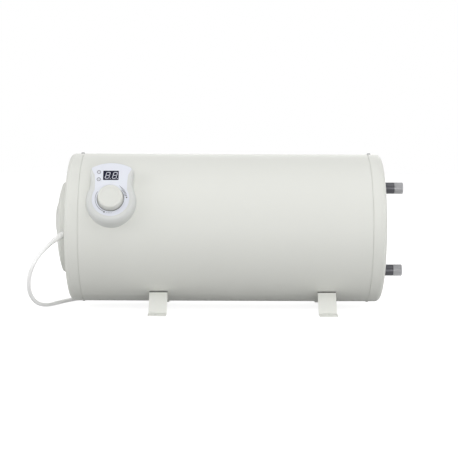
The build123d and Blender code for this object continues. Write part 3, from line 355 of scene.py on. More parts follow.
def looked_at(wiring):
    """1 for rays of the camera, a mirror or glass, and 0 for light that falls on the object."""
    camera_ray, mirror_ray, glass_ray = (
        wiring.node("ShaderNodeLightPath", {}, {}, f"Is {kind} Ray")
        for kind in ("Camera", "Glossy", "Transmission")
    )
    return camera_ray.math("MAXIMUM", mirror_ray.math("MAXIMUM", glass_ray))


matt = Finish("studio_floor", (0.5, 0.5, 0.5), 0.9)
matt.put("Emission Color", (1, 1, 1, 1))
matt.put("Emission Strength", looked_at(matt) * FLOOR_GLOW)
dress(floor, matt)

world = bpy.data.worlds.new("studio")
bpy.context.scene.world = world
world.use_nodes = True
sky = Wiring(world.node_tree)
background = sky.tree.nodes["Background"]
sky.feed(background.inputs["Color"], (1, 1, 1, 1))
levels = {"Value": looked_at(sky), "To Min": WORLD_LEVEL, "To Max": 1.0}
sky.feed(background.inputs["Strength"], sky.node("ShaderNodeMapRange", {}, levels))
bpy.context.scene.view_settings.view_transform = "Standard"
print("the world lights the object at", WORLD_LEVEL)

# %% [markdown]
# ## Paint, plastic and metal
# Stove enamel on steel is nearly smooth, with a faint orange peel. The moulded plastic is a
# touch darker, with a fine spark-eroded grain, and the panel's is a cooler cream again. Each
# foot is a bent strap with a dark band painted along its top edge: painted shade, for the
# shadow where the strap meets the tank.

# %% Finishes of the object
CREAM = (0.735, 0.742, 0.702)
SATIN = {"Specular_IOR_Level": 0.2}
ORANGE_PEEL = {"spread": 0.012, "grain": 420, "depth": 0.00003, **SATIN}
MOULDED = {"spread": 0.012, "grain": 2600, "depth": 0.00003, **SATIN}
BARE_METAL = {"grain": 700, "Metallic": 1.0}
plastic = wear("cream_plastic", (0.715, 0.722, 0.684), 0.5, 14, **MOULDED)
panel_plastic = wear("panel_plastic", (0.67, 0.682, 0.668), 0.5, 14, **MOULDED)
white_plastic = wear("white_plastic", (0.72, 0.72, 0.70), 0.45, 30, spread=0.03)
flex = wear("white_flex", (0.94, 0.94, 0.935), 0.4, 25, spread=0.015, grain=900, depth=0.00004)
dark_steel = wear("dark_zinc_screw", (0.34, 0.34, 0.345), 0.42, 160, spread=0.2, **BARE_METAL)
plate = Finish("printed_scale_and_painted_shade", (0.77, 0.785, 0.835), 0.33)
finish_of_slot = {
    "cream_paint": wear("cream_enamel", CREAM, 0.52, 9, **ORANGE_PEEL),
    "cream_plastic": plastic,
    "white_plastic": white_plastic,
    "dark_plastic": wear("dark_plastic", (0.035, 0.035, 0.04), 0.45, 30, spread=0.1),
    "lamp_plastic": wear("lamp_plastic", (0.62, 0.63, 0.68), 0.25, 200, spread=0.05),
    "white_flex": flex,
    "rubber_black": wear("black_rubber", (0.03, 0.03, 0.03), 0.75, 60, spread=0.2),
    "printed_label": plate,
    "circuit_board": wear("green_circuit_board", (0.02, 0.16, 0.07), 0.35, 60, spread=0.1),
    "dark_screw": dark_steel,
    "brass": wear("brass", (0.52, 0.42, 0.25), 0.38, 120, spread=0.1, **BARE_METAL),
    "zinc_steel": wear(
        "zinc_plated_steel", (0.52, 0.52, 0.54), 0.36, 160, spread=0.15, **BARE_METAL
    ),
    "stainless": wear(
        "stainless_steel", (0.60, 0.60, 0.60), 0.3, 60, spread=0.08, grain=900, Metallic=1.0
    ),
    "magnesium": wear(
        "grey_magnesium", (0.42, 0.42, 0.42), 0.55, 90, 0.2, 500, 0.0001, Metallic=1.0
    ),
    "foam": wear("yellow_foam", (0.72, 0.62, 0.38), 0.9, 70, 0.15, 260, 0.0005),
    "dark_window": wear(
        "dark_window", (0.012, 0.013, 0.03), 0.14, 20, 0.05, 60, 0.000002, Specular_IOR_Level=0.12
    ),
}
for entry in frame["record"]["subparts"]:
    dress(nodes[entry["node"]], finish_of_slot[entry["material_slot"]])
dress(power_cord, flex)
STRAP_CREAM = (0.78, 0.787, 0.747)
SHADE_EDGE_COLOR, SHADE_EDGE_DEPTH = (0.10, 0.10, 0.095, 1), 1.4 * MM
for name in ("left_foot", "right_foot"):
    strap = wear("enamelled_strap_" + name, STRAP_CREAM, 0.5, 12, **ORANGE_PEEL)
    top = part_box(name)[1][2]
    # A dark band along the strap's top edge is painted shade, for the shadow where the strap meets
    # the tank.
    painted_shade = strap.axis("Z").above(top - SHADE_EDGE_DEPTH, 0.3 * MM)
    strap.put("Base Color", strap.blend(painted_shade, strap.coat, SHADE_EDGE_COLOR))
    dress(nodes[name], strap)

# %% [markdown]
# ## Modelling by hand, in code
# Blender's operators act on what is selected, so each helper first clears the selection. A
# piece is modelled about the origin and settled into its place at the end, which leaves its
# object unturned at the origin, as the solids are.

# %% Helpers for selecting and placing


def fresh():
    """Nothing selected and no mesh being edited."""
    if bpy.context.object and bpy.context.object.mode != "OBJECT":
        bpy.ops.object.mode_set(mode="OBJECT")
    bpy.ops.object.select_all(action="DESELECT")


def only(item):
    """Selects one object and makes it the active one."""
    fresh()
    item.select_set(True)
    bpy.context.view_layer.objects.active = item


def edit_all():
    """Opens the active mesh for editing, with all of its vertices selected."""
    bpy.ops.object.mode_set(mode="EDIT")
    bpy.ops.mesh.select_mode(type="VERT")
    bpy.ops.mesh.select_all(action="SELECT")


def close_up():
    """Turns all faces outwards and ends the editing."""
    bpy.ops.mesh.select_all(action="SELECT")
    bpy.ops.mesh.normals_make_consistent(inside=False)
    bpy.ops.object.mode_set(mode="OBJECT")


def settle(item, place):
    """Puts a finished piece in its place and leaves its object at the origin."""
    only(item)
    item.matrix_world = place
    bpy.ops.object.transform_apply(location=True, rotation=True, scale=True)


def smooth(item, degrees):
    """Smooth shading with creases at edges sharper than the angle."""
    only(item)
    bpy.ops.object.shade_smooth_by_angle(angle=math.radians(degrees))


def copied(item, place):
    """A copy with its own mesh, moved to a place."""
    copy = item.copy()
    copy.data = item.data.copy()
    bpy.context.scene.collection.objects.link(copy)
    copy.data.transform(place)
    return copy


def joined(name, items):
    """Several objects made one, under a name."""
    fresh()
    for item in items:
        item.select_set(True)
    bpy.context.view_layer.objects.active = items[0]
    bpy.ops.object.join()
    bpy.context.object.name = name
    return bpy.context.object


def done(item, finish, body, *stood_for):
    """Gives a piece its finish, its body and the solids that it stands for."""
    dress(item, finish)
    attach(item, body)
    if stood_for:
        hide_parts(*stood_for)
    print(item.name, len(item.data.polygons), "faces")


print("helpers for selecting and placing are ready")

# %% [markdown]
# ## Turned pieces and cuts
# Knob, cover, pipes and screw heads are all round about one axis. Each starts as one vertex,
# which is extruded along the half section, and that line is spun about Z. Doubles on the axis
# are merged before the normals are made to point outwards. Holes are cut with plain bars and
# blocks, which are removed afterwards.

# %% Helpers for turning and cutting


def turned(name, corners, steps):
    """A piece spun about Z from the corners (radius, height) of its half section, in mm."""
    fresh()
    bpy.ops.mesh.primitive_plane_add(size=MM)
    piece = bpy.context.object
    piece.name = name
    edit_all()
    bpy.ops.mesh.merge(type="CENTER")
    here = Vector((corners[0][0], 0, corners[0][1])) * MM
    bpy.ops.transform.translate(value=here)
    for radius, height in corners[1:]:
        there = Vector((radius, 0, height)) * MM
        bpy.ops.mesh.extrude_region_move(TRANSFORM_OT_translate={"value": there - here})
        here = there
    bpy.ops.mesh.select_all(action="SELECT")
    bpy.ops.mesh.spin(steps=steps, angle=2 * math.pi, center=(0, 0, 0), axis=(0, 0, 1))
    bpy.ops.mesh.select_all(action="SELECT")
    bpy.ops.mesh.remove_doubles(threshold=0.004 * MM)
    close_up()
    return piece


def arc(centre, radius, start, end, steps):
    """Corners along an arc of a half section, from one angle to another in degrees."""
    angles = [math.radians(start + (end - start) * i / steps) for i in range(steps + 1)]
    return [(centre[0] + radius * math.cos(a), centre[1] + radius * math.sin(a)) for a in angles]


def cut(item, tool, operation="DIFFERENCE"):
    """Cuts a tool's shape out of a piece, or joins it, and removes the tool."""
    only(item)
    modifier = item.modifiers.new("cut", "BOOLEAN")
    modifier.operation = operation
    modifier.solver = "EXACT"
    modifier.object = tool
    bpy.ops.object.modifier_apply(modifier=modifier.name)
    bpy.data.objects.remove(tool)


def block(size, place):
    """A box of a size in mm about a place in mm, as a tool."""
    fresh()
    bpy.ops.mesh.primitive_cube_add(size=1)
    edit_all()
    bpy.ops.transform.resize(value=Vector(size) * MM)
    bpy.ops.transform.translate(value=Vector(place) * MM)
    bpy.ops.object.mode_set(mode="OBJECT")
    return bpy.context.object


def bar(radius, low, high, place=(0, 0), steps=64):
    """A round bar along Z, as a tool."""
    fresh()
    depth = (high - low) * MM
    bpy.ops.mesh.primitive_cylinder_add(vertices=steps, radius=radius * MM, depth=depth)
    edit_all()
    bpy.ops.transform.translate(value=Vector((*place, (low + high) / 2)) * MM)
    bpy.ops.object.mode_set(mode="OBJECT")
    return bpy.context.object


print("helpers for turning and cutting are ready")

# %% [markdown]
# ## Frames of reference
# The panel's face leans back 27 degrees. In its own frame X runs along the tank, Y up the slope
# and Z away from the tank's axis, so the panel's pieces are modelled flat and then set in place.
# The left end's frame has X to the front, Y up and Z out of the cover. The last frame has Z
# along the tank and Y up, for the pipes.

# %% Frames
TANK_RADIUS, SHELL_GAP = 125, 0.1
HALF_LENGTH, REACH = 261, 330
PANEL_SHIFT, PANEL_LEAN = -184.5, 27


def frame_of(x_axis, z_axis, origin):
    """The matrix of a frame from two of its axes and its origin."""
    x_axis, z_axis = Vector(x_axis), Vector(z_axis)
    turn = Matrix((x_axis, z_axis.cross(x_axis), z_axis)).transposed().to_4x4()
    return Matrix.Translation(origin) @ turn


def outward(x, angle):
    """A frame on the tank's axis whose Z leaves it at that angle above the front."""
    turn = math.radians(angle)
    start = TANK_MIDDLE + Vector((x * MM, 0, 0))
    return frame_of((1, 0, 0), (0, -math.cos(turn), math.sin(turn)), start)


def ring_spot(radius, degrees):
    """A place on a circle about the origin."""
    turn = math.radians(degrees)
    return radius * math.cos(turn), radius * math.sin(turn)


PANEL = outward(PANEL_SHIFT, PANEL_LEAN)
LEFT_END = frame_of((0, -1, 0), (-1, 0, 0), TANK_MIDDLE + Vector((-HALF_LENGTH, 0, 0)) * MM)
ALONG = frame_of((0, 1, 0), (1, 0, 0), TANK_MIDDLE)
print("panel faces", [round(c, 3) for c in PANEL.col[2][:3]])

# %% [markdown]
# ## The panel's outline
# It is a round bulb that grows through a slight waist into a head with an arched top. Only its
# right half is drawn, and the left half mirrors it. Flat outlines are filled curves that are
# pulled up, and domed ones are stacks of rings, each extruded from the one below.

# %% Panel outline
FACE = 139.5
KNOB_DROP = 8.5
BULB, BULB_SWEEP, BULB_STEPS = 40.6, 115, 34
HEAD_TOP = 55.5
CORNER_STEPS, ARCH_STEPS = 6, 14


def outline(name, points, low, high):
    """A flat outline of points in mm, filled and pulled up from one height to another."""
    data = bpy.data.curves.new(name, "CURVE")
    data.dimensions = "2D"
    data.fill_mode = "BOTH"
    line = data.splines.new("POLY")
    line.points.add(len(points) - 1)
    line.use_cyclic_u = True
    for point, (u, v) in zip(line.points, points):
        point.co = (u * MM, v * MM, 0, 1)
    item = bpy.data.objects.new(name, data)
    bpy.context.scene.collection.objects.link(item)
    only(item)
    bpy.ops.object.convert(target="MESH")
    edit_all()
    bpy.ops.mesh.dissolve_limited(angle_limit=math.radians(1))
    bpy.ops.transform.translate(value=(0, 0, low * MM))
    step = {"value": (0, 0, (high - low) * MM)}
    bpy.ops.mesh.extrude_region_move(TRANSFORM_OT_translate=step)
    close_up()
    return item


def stacked(name, rings):
    """A solid through rings of (u, v, height) in mm, each with as many points."""
    fresh()
    bpy.ops.mesh.primitive_circle_add(vertices=len(rings[0]), radius=MM, fill_type="NGON")
    item = bpy.context.object
    item.name = name
    edit_all()
    mesh = bmesh.from_edit_mesh(item.data)
    for vertex, point in zip(list(mesh.faces)[0].verts, rings[0]):
        vertex.co = Vector(point) * MM
    for below, above in zip(rings, rings[1:]):
        bmesh.update_edit_mesh(item.data)
        bpy.ops.mesh.select_mode(type="FACE")
        bpy.ops.mesh.extrude_region_move(TRANSFORM_OT_translate={"value": (0, 0, 0)})
        mesh = bmesh.from_edit_mesh(item.data)
        lid = [face for face in mesh.faces if face.select][0]
        for vertex in lid.verts:
            here = min(range(len(below)), key=lambda i: (Vector(below[i]) * MM - vertex.co).length)
            vertex.co = Vector(above[here]) * MM
    bmesh.update_edit_mesh(item.data)
    close_up()
    return item


def arched(half_width, rise, top, corner):
    """The right half of a head's top: a rounded corner, then the arch up to the middle."""
    lift = top - rise
    radius = (half_width**2 + lift**2) / (2 * lift)
    lean = math.asin((half_width - corner) / (radius - corner))
    knee = (radius - corner) * math.cos(lean) + top - radius
    turns = [(math.pi / 2 - lean) * i / CORNER_STEPS for i in range(CORNER_STEPS + 1)]
    middle = half_width - corner
    points = [(middle + corner * math.cos(a), knee + corner * math.sin(a)) for a in turns]
    arch = [lean * (1 - i / ARCH_STEPS) for i in range(1, ARCH_STEPS)]
    return points + [(radius * math.sin(a), top - radius + radius * math.cos(a)) for a in arch]


def mirrored_outline(half, top):
    """A whole outline from its right half, which runs upwards, and the middle of its top."""
    return half + [(0, top)] + [(-u, v) for u, v in half[::-1]]


bulb_turns = [-90 + BULB_SWEEP * i / BULB_STEPS for i in range(1, BULB_STEPS + 1)]
bulb_spots = [ring_spot(BULB, degrees) for degrees in bulb_turns]
half = [(u, v - KNOB_DROP) for u, v in bulb_spots]
half += [(35.7, 11.6), (34.95, 15.0), (34.5, 19.0), (34.45, 24.0), (34.7, 30.0), (35.1, 36.0)]
half += arched(35.2, 45.0, HEAD_TOP, 7.0)
edge = [(0, -KNOB_DROP - BULB)] + mirrored_outline(half, HEAD_TOP)
print("panel outline", len(edge), "points")

# %% [markdown]
# ## The panel's moulding
# The outline is pulled up ring by ring, and each ring is drawn in a little more: widely round
# the bulb, hardly at all along the head's top. The tank's curve is cut from its underside, and
# from its face the label's recess, the knob's well, the window and the lamps' holes.

# %% Panel moulding
DRAWN_IN = [(-60, 7.6), (0, 7.4), (15, 6.3), (28, 4.6), (40, 1.5), (46, 1.1), (60, 0.8)]
ROOT, WAIST, SHOULDER, EDGE_STEPS = 100, 122, 129, 12
RECESS, WELL_FLOOR, LAMP_FLOOR, OVER = FACE - 0.55, FACE - 2, FACE - 3, FACE + 2
LABEL_TOP, LABEL_ROUND, WELL_RADIUS, LAMP_HOLE = 54.3, 30.2, 21.3, 2.6
KNOB_MIDDLE = (0, -KNOB_DROP)
WINDOW, WINDOW_HOLE = (-0.8, 32.5), (25.4, 16.8, 6)
LAMPS = [(-20.2, 38.3), (-20.2, 25.5)]


def drawn_in(v):
    """How far the face's edge lies inside the outline at a height on the panel."""
    for (low, first), (high, second) in zip(DRAWN_IN, DRAWN_IN[1:]):
        if v <= high:
            return first + (second - first) * (v - low) / (high - low)


def ring_of(share, height):
    """The outline drawn in by a share of its full amount, at a height."""
    ring = []
    for i, (u, v) in enumerate(edge):
        before, after = Vector(edge[i - 1]), Vector(edge[(i + 1) % len(edge)])
        along = (after - before).normalized()
        inward = Vector((-along.y, along.x)) * drawn_in(v) * share
        ring.append((u + inward.x, v + inward.y, height))
    return ring


rings = [ring_of(0, height) for height in (ROOT, WAIST, SHOULDER)]
for i in range(1, EDGE_STEPS + 1):
    swing = math.pi / 2 * i / EDGE_STEPS
    height = SHOULDER + (FACE - SHOULDER) * math.sin(swing)
    rings.append(ring_of(1 - math.cos(swing), height))
moulding = stacked("panel_moulding", rings)
label_half = [(26.1, -KNOB_DROP), (26.1, 22.0), (27.1, 33.5)] + arched(33.3, 45.1, LABEL_TOP, 3.0)
recess = outline("label_way", mirrored_outline(label_half, LABEL_TOP), RECESS, OVER)
cut(recess, bar(LABEL_ROUND, RECESS, OVER, KNOB_MIDDLE, 160), "UNION")
cut(moulding, recess)
cut(moulding, bar(WELL_RADIUS, WELL_FLOOR, OVER, KNOB_MIDDLE, 128))
cut(moulding, block(WINDOW_HOLE, (*WINDOW, FACE)))
for spot in LAMPS:
    cut(moulding, bar(LAMP_HOLE, LAMP_FLOOR, OVER, spot, 40))
settle(moulding, PANEL)
under = bar(TANK_RADIUS + SHELL_GAP, -REACH, REACH, steps=360)
settle(under, ALONG)
cut(moulding, under)
smooth(moulding, 24)
done(moulding, panel_plastic, "tank", "control_housing")

# %% [markdown]
# ## The knob
# A plain round cap with a slight draft, a rounded rim and a faint ring where its face is
# dished. Half of its section is drawn once and spun: up the hub and along the hollow inside,
# down the skirt, round the rim and in over the face.

# %% Knob
BASE = 137.8
TOP = BASE + 13
HUB_END, HUB_RADIUS = 140.1, 5.2
profile = [(HUB_RADIUS, HUB_END), (HUB_RADIUS, TOP - 2.5), (18.0, TOP - 2.5)]
profile += [(18.3, BASE + 0.3), (18.6, BASE), (20.0, BASE), (20.3, BASE + 0.3)]
profile += arc((17.5, TOP - 2.4), 2.4, 0, 90, 8)
profile += [(15.2, TOP), (14.9, TOP - 0.06), (14.5, TOP - 0.3), (14.1, TOP - 0.42)]
profile += [(9.0, TOP - 0.5), (0, TOP - 0.52), (0, HUB_END)]
knob = turned("temperature_knob", profile, 128)
settle(knob, PANEL @ Matrix.Translation(Vector((*KNOB_MIDDLE, 0)) * MM))
smooth(knob, 40)
done(knob, plastic, "knob", "control_knob")

# %% [markdown]
# ## The display
# Two seven-segment digits lie under a dark window. They are unlit, so they show as pale bars.
# One bar is a thin hexagon, modelled once and copied with its own mesh to each place. The whole
# digit leans thirteen degrees, and a round point stands at its foot.

# %% Display digits
SEGMENT_END, SEGMENT_TIP, SEGMENT_HALF = 2.65, 0.6, 0.52
DIGIT_HALF, DIGIT_STEP, DIGIT_POINT = 3.0, 5.3, (4.3, -5.6)
DIGITS_LOW, DIGITS_HIGH = FACE - 0.02, FACE + 0.03
DIGIT_MIDDLES, DIGIT_LEAN, POINT_RADIUS = (-5.1, 6.5), math.radians(13), 0.7
inner = SEGMENT_END - SEGMENT_TIP
bar_points = [(-SEGMENT_END, 0), (-inner, SEGMENT_HALF), (inner, SEGMENT_HALF)]
bar_points += [(SEGMENT_END, 0), (inner, -SEGMENT_HALF), (-inner, -SEGMENT_HALF)]
segment = outline("segment", bar_points, DIGITS_LOW, DIGITS_HIGH)
slope = math.tan(DIGIT_LEAN)
lean = Matrix.Identity(4)
lean[0][1], lean[0][3] = slope, -WINDOW[1] * slope * MM
bars = []
for digit in DIGIT_MIDDLES:
    column, row = WINDOW[0] + digit, WINDOW[1]
    places = [(0, DIGIT_STEP, 0), (0, 0, 0), (0, -DIGIT_STEP, 0)]
    places += [(s * DIGIT_HALF, r * DIGIT_STEP / 2, 90) for s in (-1, 1) for r in (-1, 1)]
    for u, v, turn in places:
        shift = Matrix.Translation(Vector((column + u, row + v, 0)) * MM)
        place = PANEL @ lean @ shift @ Matrix.Rotation(math.radians(turn), 4, "Z")
        bars.append(copied(segment, place))
    spot = (column + DIGIT_POINT[0], row + DIGIT_POINT[1])
    point = bar(POINT_RADIUS, DIGITS_LOW, DIGITS_HIGH, spot, 20)
    settle(point, PANEL)
    bars.append(point)
bpy.data.objects.remove(segment)
digits = joined("display_digits", bars)
pale = wear("unlit_segment", (0.58, 0.59, 0.66), 0.3, 300, 0.05, 2000, 0.000005)
done(digits, pale, "tank")

# %% [markdown]
# ## The printed plate
# The scale round the knob is print: a thin arc with a dot at one end, a striped wedge that
# grows towards its own dot, and a few ticks below. Each lamp has a grey ring. A dark line
# close to the knob is painted shade, for the shadow in the gap of the knob's well. All of it
# is worked out from the plate's coordinates, turned into the panel's own frame and written in mm.

# %% Print and painted shade on the plate
ARC_RADIUS, ARC_FROM, ARC_TO = 24.5, 150, 247
WEDGE_IN, WEDGE_OUT, WEDGE_GROWTH, WEDGE_FROM, WEDGE_TO = 26.0, 26.7, 3.1, 9, 60
TICK_RADIUS, TICKS_FROM, TICKS_TO = 24.8, 254, 276
# The first radius is that of a painted shade ring, for the shadow in the gap of the knob's well.
WELL_SHADE_RADIUS, LAMP_RING = 21.6, 2.75
COLD_DOT, HOT_DOT = (248, 25.1, 1.2), (5, 25.8, 1.2)
INK_AND_SHADE_GREY, DARK_INK = (0.09, 0.09, 0.11, 1), (0.045, 0.045, 0.055, 1)
x, y, z = (plate.axis(name) for name in "XYZ")
tilt = math.radians(PANEL_LEAN)
across = (x - (TANK_MIDDLE.x + PANEL_SHIFT * MM)) * 1000
up = (y * math.sin(tilt) + (z - TANK_MIDDLE.z) * math.cos(tilt)) * 1000


def distance(first, second):
    """How far a spot is from a place, from its two offsets."""
    return (first * first + second * second).math("SQRT")


def near(value, middle, half, softness):
    """1 within half a width of a value, with soft edges."""
    return 1 - (value - middle).math("ABSOLUTE").above(half, softness)


def between(value, low, high, softness):
    """1 from a low value to a high one, with soft ends."""
    return value.above(low, softness) * (1 - value.above(high, softness))


def dot(degrees, radius, size):
    """1 inside a dot at a polar place round the knob."""
    u, v = ring_spot(radius, degrees)
    return 1 - distance(across - u, up - (v - KNOB_DROP)).above(size, 0.15)


away = distance(across, up + KNOB_DROP)
angle = (up + KNOB_DROP).math("ARCTAN2", across) * (180 / math.pi)
angle = angle + angle.math("LESS_THAN", 0.0) * 360
thin_arc = near(away, ARC_RADIUS, 0.4, 0.25)
thin_arc = thin_arc * angle.above(ARC_FROM, 2) * (1 - angle.above(ARC_TO, 1))
growth = 1 - angle.above(48, 14)
wedge = (away + growth * WEDGE_GROWTH).above(WEDGE_IN, 0.15) * (1 - away.above(WEDGE_OUT, 0.15))
stripes = (angle * 1.08).math("SINE").above(0.1, 0.4)
wedge = wedge * between(angle, WEDGE_FROM, WEDGE_TO, 0.6) * (stripes * 0.75 + 0.15)
tick_gaps = (angle * 1.1).math("SINE").above(0.3, 0.2)
ticks = near(away, TICK_RADIUS, 0.7, 0.15) * tick_gaps * between(angle, TICKS_FROM, TICKS_TO, 1)
# The ring close to the knob in this sum is painted shade, for the shadow in the gap of the knob's
# well; the rest is print.
grey = thin_arc * 0.85 + wedge + ticks * 0.55 + near(away, WELL_SHADE_RADIUS, 0.42, 0.12)
for u, v in LAMPS:
    grey = grey + near(distance(across - u, up - v), LAMP_RING, 0.5, 0.12)
dark = dot(*COLD_DOT) + dot(*HOT_DOT)
paper = plate.blend(plate.noise(30, 3), (0.715, 0.735, 0.80, 1), (0.735, 0.755, 0.82, 1))
plate.put("Base Color", plate.blend(dark, plate.blend(grey, paper, INK_AND_SHADE_GREY), DARK_INK))
plate.put("Roughness", grey * 0.1 + 0.33)
plate.relief(plate.noise(1800), 0.00001)
print("print on the plate", len(plate.tree.nodes), "nodes")

# %% [markdown]
# ## The side cover
# A low moulded dome with a raised round plateau above its middle. Both are turned and joined.
# Three deep screw holes and the cord's hole are cut out of it.

# %% Side cover
SCREW_SEAT, POST_RING, POST_HOLE = 12, 60, 4.1
PLATEAU_RISE, CORD_HOLE = 12, 5.4
POSTS = [ring_spot(POST_RING, degrees) for degrees in (30, 150, 270)]
dome = [(0, 0), (77.6, 0), (78.0, 0.4), (76.85, 10.6)]
dome += arc((72.8, 10.1), 4.0, 4, 66, 8)
dome += [(66.0, 16.5), (56.0, 18.9), (46.0, 20.7), (34.0, 22.1), (20.0, 22.8), (8.0, 23.0)]
cover = turned("side_cover", dome + [(0, 23.0)], 128)
hill = [(0, 10), (46.9, 10), (46.9, 17.0), (25.0, 24.55), (23.5, 25.0), (21.5, 25.5)]
hill += [(19.0, 25.85), (16.5, 25.97), (0, 26.0)]
plateau = turned("plateau", hill, 96)
settle(plateau, Matrix.Translation((0, PLATEAU_RISE * MM, 0)))
cut(cover, plateau, "UNION")
for spot in POSTS:
    cut(cover, bar(POST_HOLE, SCREW_SEAT, 30, spot, 40))
settle(cover, LEFT_END)
cord_way = (Vector(CORD_ROUTE[0]) * MM - CORD_START).normalized()
CORD_FRAME = Matrix.Translation(CORD_START) @ cord_way.to_track_quat("Z", "Y").to_matrix().to_4x4()
hole = bar(CORD_HOLE, -12, 12, steps=48)
settle(hole, CORD_FRAME)
cut(cover, hole)
smooth(cover, 26)
done(cover, plastic, "tank", "electrical_cover")

# %% [markdown]
# ## Screws
# Every screw that shows is a round head with a cross recess. The head is turned once, the
# cross is cut from it with two thin blocks, and copies with their own mesh go to each place,
# each turned a little differently.

# %% Screw heads
CAP_SCREW_SHIFT = 242


def screw_head(name, radius, height, places, *stood_for):
    """Cross-recess screws whose heads stand on the places given, as one piece."""
    crown = [(0, -3.0), (radius * 0.45, -3.0), (radius * 0.45, 0), (radius * 0.96, 0)]
    crown += [(radius, 0.15), (radius, height * 0.3), (radius * 0.92, height * 0.62)]
    crown += [(radius * 0.74, height * 0.86), (radius * 0.45, height * 0.98), (0, height)]
    head = turned(name, crown, 36)
    for turn in (0, 90):
        slot = block((radius * 1.1, radius * 0.24, height), (0, 0, height))
        settle(slot, Matrix.Rotation(math.radians(turn), 4, "Z"))
        cut(head, slot)
    copies = []
    for i, place in enumerate(places):
        turn = math.radians(25 + 50 * i)
        copies.append(copied(head, place @ Matrix.Rotation(turn, 4, "Z")))
    bpy.data.objects.remove(head)
    screws = joined(name, copies)
    smooth(screws, 30)
    done(screws, dark_steel, "tank", *stood_for)


lift = Matrix.Translation((0, 0, TANK_RADIUS * MM))
for side, name in ((-1, "left_cap_screw"), (1, "right_cap_screw")):
    spots = [outward(side * CAP_SCREW_SHIFT, degrees) @ lift for degrees in (90, -90, 180)]
    screw_head(name + "_heads", 3.0, 2.0, spots, name + "s")
spots = [LEFT_END @ Matrix.Translation(Vector((*spot, SCREW_SEAT)) * MM) for spot in POSTS]
screw_head("cover_screw_heads", 3.8, 2.4, spots, "cover_screws")

# %% [markdown]
# ## Water pipes
# A plain steel stub ends in a pipe thread of 14 turns to the inch. Its pitch is so fine that a
# row of turned ridges on the core can't be told from a helix. The stub is dark from drawing,
# and the cut thread is bright and speckled.

# %% Water pipes
THREAD_START, PIPE_TIP, PIPE_INSIDE = 286.0, 301.0, 190
PIPE_RADIUS, PIPE_BORE = 9.8, 7.5
THREAD_PITCH, THREAD_TURNS, THREAD_CREST, THREAD_ROOT = 1.814, 8, 10.3775, 9.35
pipe_steel = Finish("pipe_steel", (0.2, 0.2, 0.21), 0.36, Metallic=1.0)
threaded = pipe_steel.axis("X").above(TANK_MIDDLE.x + THREAD_START * MM, 0.4 * MM)
drawn = pipe_steel.noise(300, 3, (0.05, 1, 1))
plain_tone = pipe_steel.blend(drawn, (0.045, 0.045, 0.05, 1), (0.11, 0.11, 0.12, 1))
specks = pipe_steel.noise(900)
cut_tone = pipe_steel.blend(specks, (0.30, 0.30, 0.31, 1), (0.68, 0.68, 0.69, 1))
pipe_steel.put("Base Color", pipe_steel.blend(threaded, plain_tone, cut_tone))
pipe_steel.put("Roughness", drawn * 0.12 + threaded * 0.1 + 0.32)
pipe_steel.relief(drawn, 0.00002)


def water_pipe(name, rise, node):
    """A stub with a threaded tip, at a height above the tank's axis."""
    wall = [(PIPE_BORE, PIPE_INSIDE), (PIPE_RADIUS, PIPE_INSIDE)]
    wall += [(PIPE_RADIUS, THREAD_START - 0.5), (THREAD_ROOT, THREAD_START)]
    wall += [(THREAD_ROOT, PIPE_TIP - 0.9), (THREAD_ROOT - 0.5, PIPE_TIP - 0.2)]
    wall += [(THREAD_ROOT - 0.8, PIPE_TIP), (PIPE_BORE + 0.2, PIPE_TIP)]
    wall += [(PIPE_BORE, PIPE_TIP - 0.3), (PIPE_BORE, PIPE_INSIDE)]
    pipe = turned(name, wall, 80)
    sunk = THREAD_ROOT - 0.2
    for turn in range(THREAD_TURNS):
        low = THREAD_START + 0.3 + turn * THREAD_PITCH
        flat = (low + THREAD_PITCH * 0.42, low + THREAD_PITCH * 0.52)
        section = [(sunk, low), (THREAD_CREST, flat[0]), (THREAD_CREST, flat[1])]
        section += [(sunk, low + THREAD_PITCH * 0.94), (sunk, low)]
        pipe = joined(name, [pipe, turned("ridge", section, 80)])
    settle(pipe, ALONG @ Matrix.Translation((0, rise * MM, 0)))
    smooth(pipe, 30)
    done(pipe, pipe_steel, "tank", node)


water_pipe("hot_pipe", 68, "hot_outlet_pipe")
water_pipe("cold_pipe", -72, "cold_inlet_pipe")

# %% [markdown]
# ## The cord's sleeve
# A flexible sleeve with grooves keeps the cord from kinking where it leaves the cover. It is
# turned straight and then bent with the cord, whose first stretch is a parabola.

# %% Cord sleeve
SLEEVE_BORE, SLEEVE_RADIUS, SLEEVE_LONG = 3.56, 4.9, 24
section = [(SLEEVE_BORE, -5), (SLEEVE_RADIUS, -5), (SLEEVE_RADIUS, 6.0)]
for groove in range(6):
    low = 7.0 + 2.8 * groove
    high = low + 1.6
    first, second = (SLEEVE_RADIUS - 0.95 * (z - 6) / 18 for z in (low, high))
    section += [(first, low), (first - 0.42, low + 0.25), (second - 0.42, low + 1.35)]
    section.append((second, high))
section += [(3.97, SLEEVE_LONG - 0.3), (3.85, SLEEVE_LONG), (SLEEVE_BORE, SLEEVE_LONG)]
sleeve = turned("cord_sleeve", section + [(SLEEVE_BORE, -5)], 64)
settle(sleeve, CORD_FRAME)
run = (Vector(CORD_ROUTE[0]) * MM - CORD_START).length
bow = (Vector(CORD_ROUTE[1]) - Vector(CORD_ROUTE[0])) * MM / 2
forward = bow.dot(cord_way)
sideways = bow - cord_way * forward
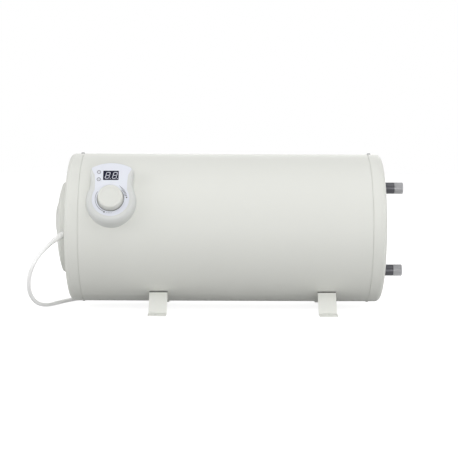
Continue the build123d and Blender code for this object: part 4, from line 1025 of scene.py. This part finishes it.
for vertex in sleeve.data.vertices:
    out = max((vertex.co - CORD_START).dot(cord_way), 0)
    share = (run - math.sqrt(run**2 - (run - forward) * out)) / (run - forward)
    vertex.co += sideways * share**2
smooth(sleeve, 40)
done(sleeve, flex, "tank", "strain_relief")

# %% [markdown]
# ## The plug
# It is moulded round the cord's end: a grooved neck, a ribbed grip and a broad flat face. It
# isn't round, so it is a stack of rings that grow from a circle to a rounded rectangle.

# %% Plug
plug_way = (route[-1] - route[-2]).normalized()
PLUG = frame_of((0, 0, -1), plug_way, route[-1])
PLUG_POINTS = 56


def plug_ring(height, half_thick, half_wide, power):
    """A rounded rectangle about the cord's line; a power of 2 is an oval."""
    ring = []
    for i in range(PLUG_POINTS):
        turn = 2 * math.pi * i / PLUG_POINTS
        c, s = math.cos(turn), math.sin(turn)
        u = math.copysign(abs(c) ** (2 / power), c) * half_thick
        v = math.copysign(abs(s) ** (2 / power), s) * half_wide
        ring.append((u, v, height))
    return ring


rows = [(0, 6.6, 6.6, 2), (0.5, 7.2, 7.2, 2)]
for groove in range(4):
    low = 1.3 + 2.0 * groove
    for rise, radius in ((0, 7.3), (0.3, 6.7), (1.0, 6.75), (1.3, 7.4)):
        rows.append((low + rise, radius, radius, 2))
rows += [(10.2, 7.5, 7.6, 2.2), (12.5, 8.2, 9.6, 2.6), (15.0, 9.0, 12.4, 3.2)]
rows += [(18.0, 9.9, 15.0, 4), (20.5, 10.3, 15.8, 5)]
for rib in range(5):
    low = 22.0 + 2.1 * rib
    for rise, inset in ((0, 0.1), (0.35, 0.65), (1.0, 0.7), (1.35, 0.1)):
        rows.append((low + rise, 10.3 - inset, 15.8 - inset, 5))
rows += [(33.4, 10.2, 15.8, 5), (34.1, 10.45, 16.6, 6), (34.7, 10.5, 17, 7)]
rows += [(39.0, 10.5, 17, 7), (39.7, 10.3, 16.8, 7), (40.0, 9.9, 16.4, 7)]
plug = stacked("moulded_plug", [plug_ring(*row) for row in rows])
settle(plug, PLUG)
smooth(plug, 35)
done(plug, white_plastic, "tank", "plug_body")
